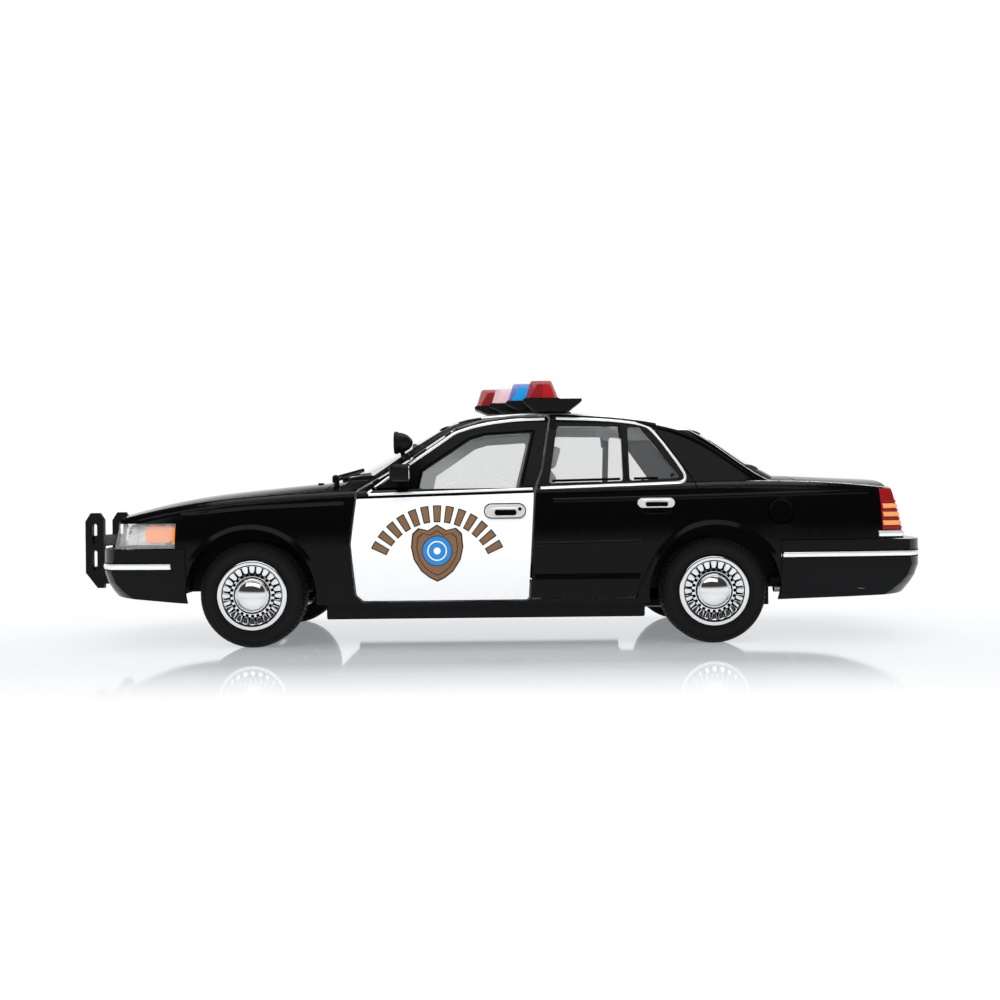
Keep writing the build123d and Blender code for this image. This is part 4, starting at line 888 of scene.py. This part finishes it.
def mirror_and_spotlight(side):
    """The mirror's glass, and the spotlight's lens, bowl, rim and joint."""
    sign = SIDES[side]
    glass = slab(basis((-29.8, sign * 55, 60.8), BACK), oblong(0, 0, 6.6, 4.8, 1.4), 0.2, 0.1)
    made(f"mirror_glass_{side}", "mirror", glass, body=f"door_{side}")
    face = basis((-35.1, sign * 46.475, 71.57), AHEAD)
    made(f"spotlight_lens_{side}", "clear", lathe(face, SPOT_LENS, 40))
    made(f"spotlight_bowl_{side}", "reflector", lathe(face, SPOT_BOWL, 40))
    made(f"spotlight_rim_{side}", "satin", lathe(face, SPOT_RIM, 40, True))
    knob = basis((-31.2, sign * 46.2, 66.6))
    made(f"spotlight_joint_{side}", "plastic", lathe(knob, SPOT_JOINT, 20))


def wipers_and_jets():
    """Wiper blades and nuts, and the washer jets on the hood."""
    for index, (start, end) in enumerate(WIPERS):
        start, end = Vector(start), Vector(end)
        blade = [start.lerp(end, i / 8) + Vector((0.3, 0, 0.25)) for i in range(9)]
        made(f"wiper_blade_{index}", "black_and_shade", tube(blade, 0.42, 8))
        nut = basis(start + Vector((-0.4, -2.8, -0.6)))
        made(f"wiper_nut_{index}", "satin", lathe(nut, WIPER_NUT, 20))
    hood = surface("hood")
    for index, y in enumerate((-16, 16)):
        spot, _ = on_surface(hood, "top", -66, y)
        if spot:
            jet = slab(basis(spot), oblong(0, 0, 2.2, 1.4, 0.5), 0.5)
            made(f"washer_jet_{index}", "plastic", jet, body="hood")


def window_gaskets():
    """Dark rubber round the windshield and the rear window, along each pane's own outline."""
    for name, view in (("windshield", "front"), ("rear_window", "rear")):
        flat = [Vector((v.co.y / MM, v.co.z / MM)) for v in nodes[name].data.vertices]
        line = drawn_in([flat[i] for i in convex_hull_2d(flat)], 1.1)
        laid(f"{name}_gasket", "black_and_shade", surface(name), view, line, 1.4, 0.28, close=True)


def drip_rail(side):
    """The rail along an edge of the white roof."""
    line = smoothed([(x, SIDES[side] * y) for x, y in DRIP_RAIL])
    laid(f"drip_rail_{side}", "black", surface("body_shell"), "top", line, 0.9, 0.35)


# Printed marks on the front doors: a plain shield and an arched row of plain bars
SHIELD_CENTRE = (-20.4, 33)
SHIELD_HALF_WIDTH = 8.6
SHIELD_HEIGHT = 18.4
SHIELD_SIDE = [
    (0.35, 0.4), (0.72, 0.44), (0.95, 0.34), (1, 0.1), (0.9, -0.12), (0.62, -0.33), (0.3, -0.45),
]
SEAL_LIFT = 0.6
ARC_CENTRE = (-20.4, 24.2)
ARC_INNER = 19.7
ARC_OUTER = 24.8
ARC_SPREAD = radians(62)
ARC_BARS = 13
PRINTS = [
    # name, finish, size of the shield or radius of the seal, lift
    ("shield_edge", "outline", 1.06, 0.06),
    ("shield", "bronze", 1, 0.1),
    ("shield_line", "outline", 0.84, 0.13),
    ("shield_inner", "bronze", 0.8, 0.16),
    ("seal_edge", "outline", 5.3, 0.2),
    ("seal", "seal_blue", 5, 0.24),
    ("seal_ring", "white_print", 3.4, 0.28),
    ("seal_centre", "seal_blue", 3, 0.32),
    ("seal_dot", "white_print", 1.2, 0.36),
]


def shield_outline(scale):
    """A plain shield: a peaked top, bowed sides and a pointed foot."""
    cx, cz = SHIELD_CENTRE
    half, height = SHIELD_HALF_WIDTH * scale, SHIELD_HEIGHT * scale
    left = [(-x, z) for x, z in reversed(SHIELD_SIDE)]
    return [(cx + x * half, cz + z * height) for x, z in [(0, 0.5), *SHIELD_SIDE, (0, -0.52), *left]]


def bar_outline(angle, half_angle, grow=0, corners=4):
    """One bar of the arched row, with curved ends."""
    cx, cz = ARC_CENTRE
    steps = [angle - half_angle + 2 * half_angle * i / corners for i in range(corners + 1)]
    points = [(ARC_OUTER + grow, a) for a in steps] + [(ARC_INNER - grow, a) for a in reversed(steps)]
    return [(cx + r * sin(a), cz + r * cos(a)) for r, a in points]


def door_marks(side):
    """The prints on a front door."""
    door, rides = surface(f"door_{side}"), f"door_{side}"
    cx, cz = SHIELD_CENTRE
    for name, material, size, lift in PRINTS:
        round_seal = name.startswith("seal")
        outline = circle(cx, cz + SEAL_LIFT, size) if round_seal else shield_outline(size)
        printed(f"{name}_{side}", material, door, side, outline, 4, lift, body=rides)
    angles = [ARC_SPREAD * (2 * i / (ARC_BARS - 1) - 1) for i in range(ARC_BARS)]
    wide = ARC_SPREAD / ARC_BARS
    edges = [patch(door, side, bar_outline(angle, wide * 0.72, 0.4), 3, 0.06) for angle in angles]
    bars = [patch(door, side, bar_outline(angle, wide * 0.52), 3, 0.12) for angle in angles]
    made(f"bar_edges_{side}", "outline", *edges, body=rides)
    made(f"bars_{side}", "bronze", *bars, body=rides)


# Inside
SEAT_MIDDLE = 22.55
CHANNELS = (-1.5, -0.5, 0.5, 1.5)
CHANNEL_PITCH = 4.2
PIPING = 11.5
BENCH_PITCH = 8
DASH_PATCHES = [
    # name, finish, rings, lift, outlines
    ("dash_panels", "grey_dark", [
        (3, 0.4, oblong(-20, 47.6, 17, 5, 1.6)),
        (3, 0.35, oblong(0, 44.6, 10, 10, 1)),
        *[(2, 0.35, oblong(y, 48.6, 5.4, 2.4, 0.5)) for y in (-36, 12, 36)],
    ]),
    ("dash_dials", "white_print", [(2, 0.6, circle(y, 47.8, 1.9, 24)) for y in (-22.6, -17.4)]),
    ("dash_keys", "grey_mid", [
        (2, 0.75, oblong(y, 42.3 + 2.4 * row, 1.8, 1.3, 0.3)) for y in (-3, 0, 3) for row in (0, 1, 2)
    ]),
]
WHEEL_TILT = radians(25)
INNER_MIRROR_HEIGHT = 75.2


def front_seat(side):
    """Sewn channels and piping on a front seat, and the belt on the pillar."""
    y = SIDES[side] * SEAT_MIDDLE
    tree = surface(f"front_seat_{side}")
    across = [y + k * CHANNEL_PITCH for k in CHANNELS]
    seams = [ribbon(tree, "front", [(b, 36), (b, 58)], 0.7, 0.25) for b in across]
    seams += [ribbon(tree, "front", [(y - 9.5, z), (y + 9.5, z)], 0.8, 0.3) for z in (34.5, 59)]
    seams += [ribbon(tree, "top", [(-16, b), (3, b)], 0.7, 0.25) for b in across]
    made(f"seat_seams_{side}", "grey_mid", *seams)
    edges = []
    for b in (y - PIPING, y + PIPING):
        edges.append(ribbon(tree, "front", [(b, 36), (b, 57)], 1.1, 0.4))
        edges.append(ribbon(tree, "top", [(-15, b), (4, b)], 1.1, 0.4))
    made(f"seat_piping_{side}", "grey", *edges)
    belt = (surface("body_shell"), f"in_{side}", [(17.5, 34), (17.5, 70)], 1.6, 0.3)
    laid(f"belt_{side}", "grey_dark", *belt)


def rear_seat():
    """Sewn channels on the bench."""
    bench = surface("rear_bench")
    across = [(i - 3.5) * BENCH_PITCH for i in range(8)]
    seams = [ribbon(bench, "front", [(y, 36), (y, 55)], 0.8, 0.3) for y in across]
    made("bench_seams", "grey_mid", *seams, ribbon(bench, "front", [(-31, 37), (31, 37)], 0.8, 0.3))


def dashboard():
    """Panels, dials, keys and the glove box."""
    dash = surface("dashboard")
    for name, material, rows in DASH_PATCHES:
        made(name, material, *[patch(dash, "rear", outline, rings, lift) for rings, lift, outline in rows])
    laid("glove_box", "grey_mid", dash, "rear", oblong(24, 43.6, 20, 5.6, 0.8), 0.4, 0.15, close=True)


def wheel_and_mirror():
    """The steering wheel's boss and stalk, the inner mirror and the floor mats."""
    low, high = box_of("steering_wheel")
    centre = Vector((-34.8, (low.y + high.y) / 2, 50))
    out = (cos(WHEEL_TILT), 0, sin(WHEEL_TILT))
    place = basis(centre, ((0, 1, 0), (-sin(WHEEL_TILT), 0, cos(WHEEL_TILT)), out))
    boss = slab(place, oblong(0, 0, 6.4, 3.8, 1.4), 1.1, 0.5, 0.4)
    spokes = [slab(place, oblong(s * 4.2, 0.3, 3.6, 1.6, 0.4), 0.55, 0.2, 0.2) for s in (-1, 1)]
    made("wheel_boss", "grey_dark", boss, *spokes)
    stalk = [centre + Vector(shift) for shift in ((-4, 0, -1.8), (-4.2, -5, -1), (-4.2, -9, 0))]
    made("wheel_stalk", "grey_dark", tube(stalk, 0.45, 10))
    place = basis((-15, 0, INNER_MIRROR_HEIGHT), BACK)
    made("inner_mirror", "grey_dark", slab(place, oblong(0, 0, 12, 3.4, 1.5), 1.2, 0.4))
    place = basis((-13.8, 0, INNER_MIRROR_HEIGHT), BACK)
    made("inner_mirror_glass", "mirror", slab(place, oblong(0, 0, 11, 2.6, 1.2), 0.1, 0.03))
    made("inner_mirror_arm", "grey_dark", tube([(-15, 0, 76), (-15.2, 0, 79.2)], 0.5, 10))
    tub = surface("cabin_tub")
    mats = [patch(tub, "top", oblong(-28, s * 24, 16, 24, 2), 3, 0.3) for s in (-1, 1)]
    made("floor_mats", "carpet", *mats)


def door_inside(side):
    """Armrest, pull, speaker, pocket and window crank on a door card."""
    card, view, rides = surface(f"door_card_{side}"), f"in_{side}", f"door_{side}"
    fine = {"step": 0.8, "body": rides}
    rest = [(-34, 41), (-10, 40), (6, 40)]
    laid(f"armrest_{side}", "grey", card, view, rest, 3.2, 1.6, body=rides)
    laid(f"door_pull_{side}", "chrome", card, view, [(-38, 46.5), (-32.5, 46.5)], 1.6, 0.8, **fine)
    printed(f"speaker_{side}", "grey_dark", card, view, circle(-36, 30.5, 4.6), 3, 0.4, body=rides)
    ring = circle(-36, 30.5, 4.9, 36)
    laid(f"speaker_ring_{side}", "grey_mid", card, view, ring, 0.6, 0.5, close=True, **fine)
    pocket = oblong(-12, 28, 30, 7, 1.5)
    laid(f"door_pocket_{side}", "grey_mid", card, view, pocket, 0.6, 0.5, body=rides, close=True)
    laid(f"window_crank_{side}", "grey_dark", card, view, [(-18, 36), (-13, 34.6)], 1, 0.9, **fine)


# Engine bay, trunk and underside
ENGINE_MIDDLE = -70
AIR_CLEANER = [(7, -0.1), (7, 1.2), (6.4, 1.7), (2, 1.8), (1.2, 2.2), (0.9, 2.2)]
CRANK_PULLEY = [(4.2, -0.1), (4.2, 0.5), (3.7, 0.7), (3.7, 1.1), (4.2, 1.3), (4.2, 1.7), (1, 1.7)]
UPPER_HOSE = [
    (-80.7, -6, 44), (-86, -6.5, 44.6), (-92, -8, 42), (-97, -10, 38), (-100, -10, 33),
]
BOX_TOP = 40
BOXES = [
    # name, finish, place across, size
    ("battery", "plastic", 27.5, (9, 8)),
    ("washer_tank", "grey", -27.5, (8, 7)),
]
RELIEFS = [
    # name, middle and size, height
    ("base_pan", (-2, 0, 24, 9), 0.8),
    ("base_rail_left", (0, -38, 70, 4), 0.8),
    ("base_rail_right", (0, 38, 70, 4), 0.8),
]
PIPE_LINE = [(15, -20), (60, -20), (66, -24), (100, -30.2)]
SCREW = [(1.7, -0.1), (1.7, 0.5), (1.3, 0.75), (0.5, 0.75)]


def engine_bay():
    """The air cleaner, rocker covers, pulleys, battery, washer tank and hose."""
    low, high = box_of("engine")
    made("air_cleaner", "satin", lathe(basis((ENGINE_MIDDLE, 0, high.z)), AIR_CLEANER, 48))
    places = [basis((ENGINE_MIDDLE, s * 12.2, high.z - 0.1)) for s in (-1, 1)]
    made("rocker_covers", "steel", *[slab(place, oblong(0, 0, 17, 5.4, 1.4), 1.3, 0.5) for place in places])
    pulleys = [lathe(basis((low.x, 0, 33), AHEAD), CRANK_PULLEY, 32)]
    for y, z, r in ((-9, 40, 2.6), (9, 41, 2.4)):
        pulleys.append(lathe(basis((low.x, y, z), AHEAD), [(r, -0.1), (r, 1.7), (r * 0.4, 1.9)], 28))
    made("pulleys", "steel", *pulleys)
    tray = surface("chassis", "body_shell")
    for name, material, y, size in BOXES:
        spot, _ = on_surface(tray, "top", -97, y)
        if spot and spot.z < BOX_TOP:
            place, height = basis((-97, y, spot.z)), min(10, BOX_TOP - spot.z)
            made(name, material, slab(place, oblong(0, 0, *size, 0.8), height, 0.5))
    made("upper_hose", "black_and_shade", tube(smoothed(UPPER_HOSE), 0.9, 12))


def trunk_and_base():
    """The trunk's lock and panel edge, and the relief, pipe and screws of the base plate."""
    lid = surface("trunk_lid")
    printed("trunk_lock", "chrome", lid, "rear", circle(0, 47, 1, 20), 2, 0.4, body="trunk_lid")
    panel = oblong(0, 46.5, 42, 9, 1.2)
    laid("trunk_panel", "black", lid, "rear", panel, 0.7, 0.25, body="trunk_lid", close=True)
    base = surface("chassis")
    for name, middle_and_size, height in RELIEFS:
        printed(name, "under", base, "bottom", oblong(*middle_and_size, 1.5), 5, height)
    laid("base_pipe", "steel", base, "bottom", smoothed(PIPE_LINE), 2.4, 1.1)
    spots = [on_surface(base, "bottom", x, 0)[0] for x in (-120, 128)]
    made("base_screws", "steel", *[lathe(basis(spot, DOWN), SCREW, 24) for spot in spots if spot])


# Stage, camera and light
CAMERA_PLACE = (1.55, -476, 51)
CAMERA_ROLL = -0.62
FOCAL_PIXELS = 1216
PICTURE_PIXELS = 1000
SENSOR = 36
FLOOR_HALF = 3
FLOOR_LENGTH = 0.13
FLOOR_NEAR = 0.07
FLOOR_FADE = 0.09
FLOOR_FAR_STRETCH = 1.6
FLOOR_LIFT = 0.26
GLOSS_POWER = 6
AMBIENT = 0.55
CEILING = 0.05
HORIZON = (0.08, 0.26)
AIM = Vector((0, 0, 0.04))
LAMPS = [
    # name, place in metres, length and width, power, colour
    ("key", (-0.15, -0.8, 0.52), (1.1, 0.16), 4.5, (1, 0.985, 0.96)),
    ("fill", (-0.1, -0.55, 0.68), (1.1, 0.3), 1.6, (1, 0.99, 0.97)),
    ("top", (0, 0.05, 0.95), (0.9, 0.9), 6, (1, 1, 1)),
    ("rim", (0.45, 0.55, 0.5), (0.7, 0.2), 3, (0.95, 0.97, 1)),
]


def white_rays(tree):
    """1 for the camera's rays and for those that metal and glass show it."""
    path = tree.add("LightPath").outputs
    seen = tree.calc("MAXIMUM", path["Is Camera Ray"], path["Is Glossy Ray"])
    return tree.calc("MAXIMUM", seen, path["Is Transmission Ray"])


def make_floor():
    """A plain pale floor, glossy near the model and white farther off."""
    mesh = bpy.data.meshes.new("floor")
    corners = [(FLOOR_HALF * x, FLOOR_HALF * y, 0) for x, y in ((-1, -1), (1, -1), (1, 1), (-1, 1))]
    mesh.from_pydata(corners, [], [(0, 1, 2, 3)])
    floor = bpy.data.objects.new("floor", mesh)
    bpy.context.scene.collection.objects.link(floor)
    material, tree, shader = new_material("pale_floor", Base_Color=(0.86, 0.89, 0.93), IOR=1.5)
    grain(tree, shader, 40, 0.06, 0.01, 0)
    _, (x, y, _) = tree.place()
    along = tree.calc("MAXIMUM", tree.calc("SUBTRACT", tree.calc("ABSOLUTE", x), FLOOR_LENGTH), 0)
    across = tree.calc("MAXIMUM", tree.calc("ABSOLUTE", y), tree.calc("MULTIPLY", y, FLOOR_FAR_STRETCH))
    square = tree.calc("ADD", tree.calc("POWER", along, 2), tree.calc("POWER", across, 2))
    away = tree.calc("SUBTRACT", tree.calc("SQRT", square), FLOOR_NEAR)
    fade = tree.add("Clamp", Value=tree.calc("DIVIDE", away, FLOOR_FADE)).outputs[0]
    white = tree.add("Emission", Color=tree.mix(fade, (0.93, 0.965, 1), (1, 1, 1)))
    polish = tree.add("BsdfPrincipled", Metallic=1, Roughness=0.05, Base_Color=(0.97, 0.98, 1))
    grazing = tree.calc("POWER", tree.add("LayerWeight").outputs["Facing"], GLOSS_POWER)
    glossed = tree.add("MixShader", grazing, shader.outputs[0], polish.outputs[0])
    lift = tree.calc("MULTIPLY", tree.calc("MAXIMUM", fade, FLOOR_LIFT), white_rays(tree))
    mixed = tree.add("MixShader", lift, glossed.outputs[0], white.outputs[0])
    tree.put(tree.nodes["Material Output"], Surface=mixed.outputs[0])
    mesh.materials.append(material)


def make_world():
    """White to the camera, to glass and, up to just over the horizon, to gloss; soft light on the rest."""
    world = bpy.data.worlds.new("studio")
    bpy.context.scene.world = world
    tree = Tree(world)
    glossy = tree.add("LightPath").outputs["Is Glossy Ray"]
    strength = tree.calc("SUBTRACT", AMBIENT, tree.calc("MULTIPLY", glossy, AMBIENT - CEILING))
    background = tree.put(tree.nodes["Background"], (1, 1, 1), strength)
    height = tree.place("Generated")[1][2]
    high = tree.add("MapRange", Value=height, From_Min=HORIZON[0], From_Max=HORIZON[1])
    seen = tree.calc("SUBTRACT", white_rays(tree), tree.calc("MULTIPLY", glossy, high.outputs[0]))
    white = tree.add("Background", (1, 1, 1), 1)
    mixed = tree.add("MixShader", seen, background.outputs[0], white.outputs[0])
    tree.put(tree.nodes["World Output"], Surface=mixed.outputs[0])


def make_lamps():
    """Soft area lamps that point at the object; gloss doesn't show the key lamp."""
    for name, spot, size, power, colour in LAMPS:
        lamp = bpy.data.lights.new(name, "AREA")
        lamp.shape = "RECTANGLE"
        lamp.energy, lamp.color = power, colour
        lamp.size, lamp.size_y = size
        holder = bpy.data.objects.new(name, lamp)
        holder.visible_glossy = name != "key"
        holder.location = spot
        holder.rotation_euler = (AIM - Vector(spot)).to_track_quat("-Z", "Y").to_euler()
        bpy.context.scene.collection.objects.link(holder)


def make_camera():
    """The photograph's view: level, from the driver's side, with the picture's slight roll."""
    camera = bpy.data.cameras.new("camera")
    camera.sensor_width = SENSOR
    camera.lens = FOCAL_PIXELS / PICTURE_PIXELS * SENSOR
    camera.clip_start, camera.clip_end = 0.01, 20
    holder = bpy.data.objects.new("camera", camera)
    holder.location = Vector(CAMERA_PLACE) * MM
    holder.rotation_euler = (radians(90), radians(-CAMERA_ROLL), 0)
    bpy.context.scene.collection.objects.link(holder)
    bpy.context.scene.camera = holder


def both_sides(*builders):
    """Runs each builder for the left side and then for the right one."""
    for build in builders:
        for side in SIDES:
            build(side)


both_sides(finish_nodes, wheels, side_trim, sill)
bumper_trim()
both_sides(lamps)
front_trim()
light_bar()
both_sides(bar_ends, handles, mirror_and_spotlight)
wipers_and_jets()
window_gaskets()
both_sides(drip_rail, door_marks, front_seat)
rear_seat()
dashboard()
wheel_and_mirror()
both_sides(door_inside)
engine_bay()
trunk_and_base()
make_floor()
make_world()
make_lamps()
make_camera()
bpy.context.scene.view_settings.view_transform = "Standard"
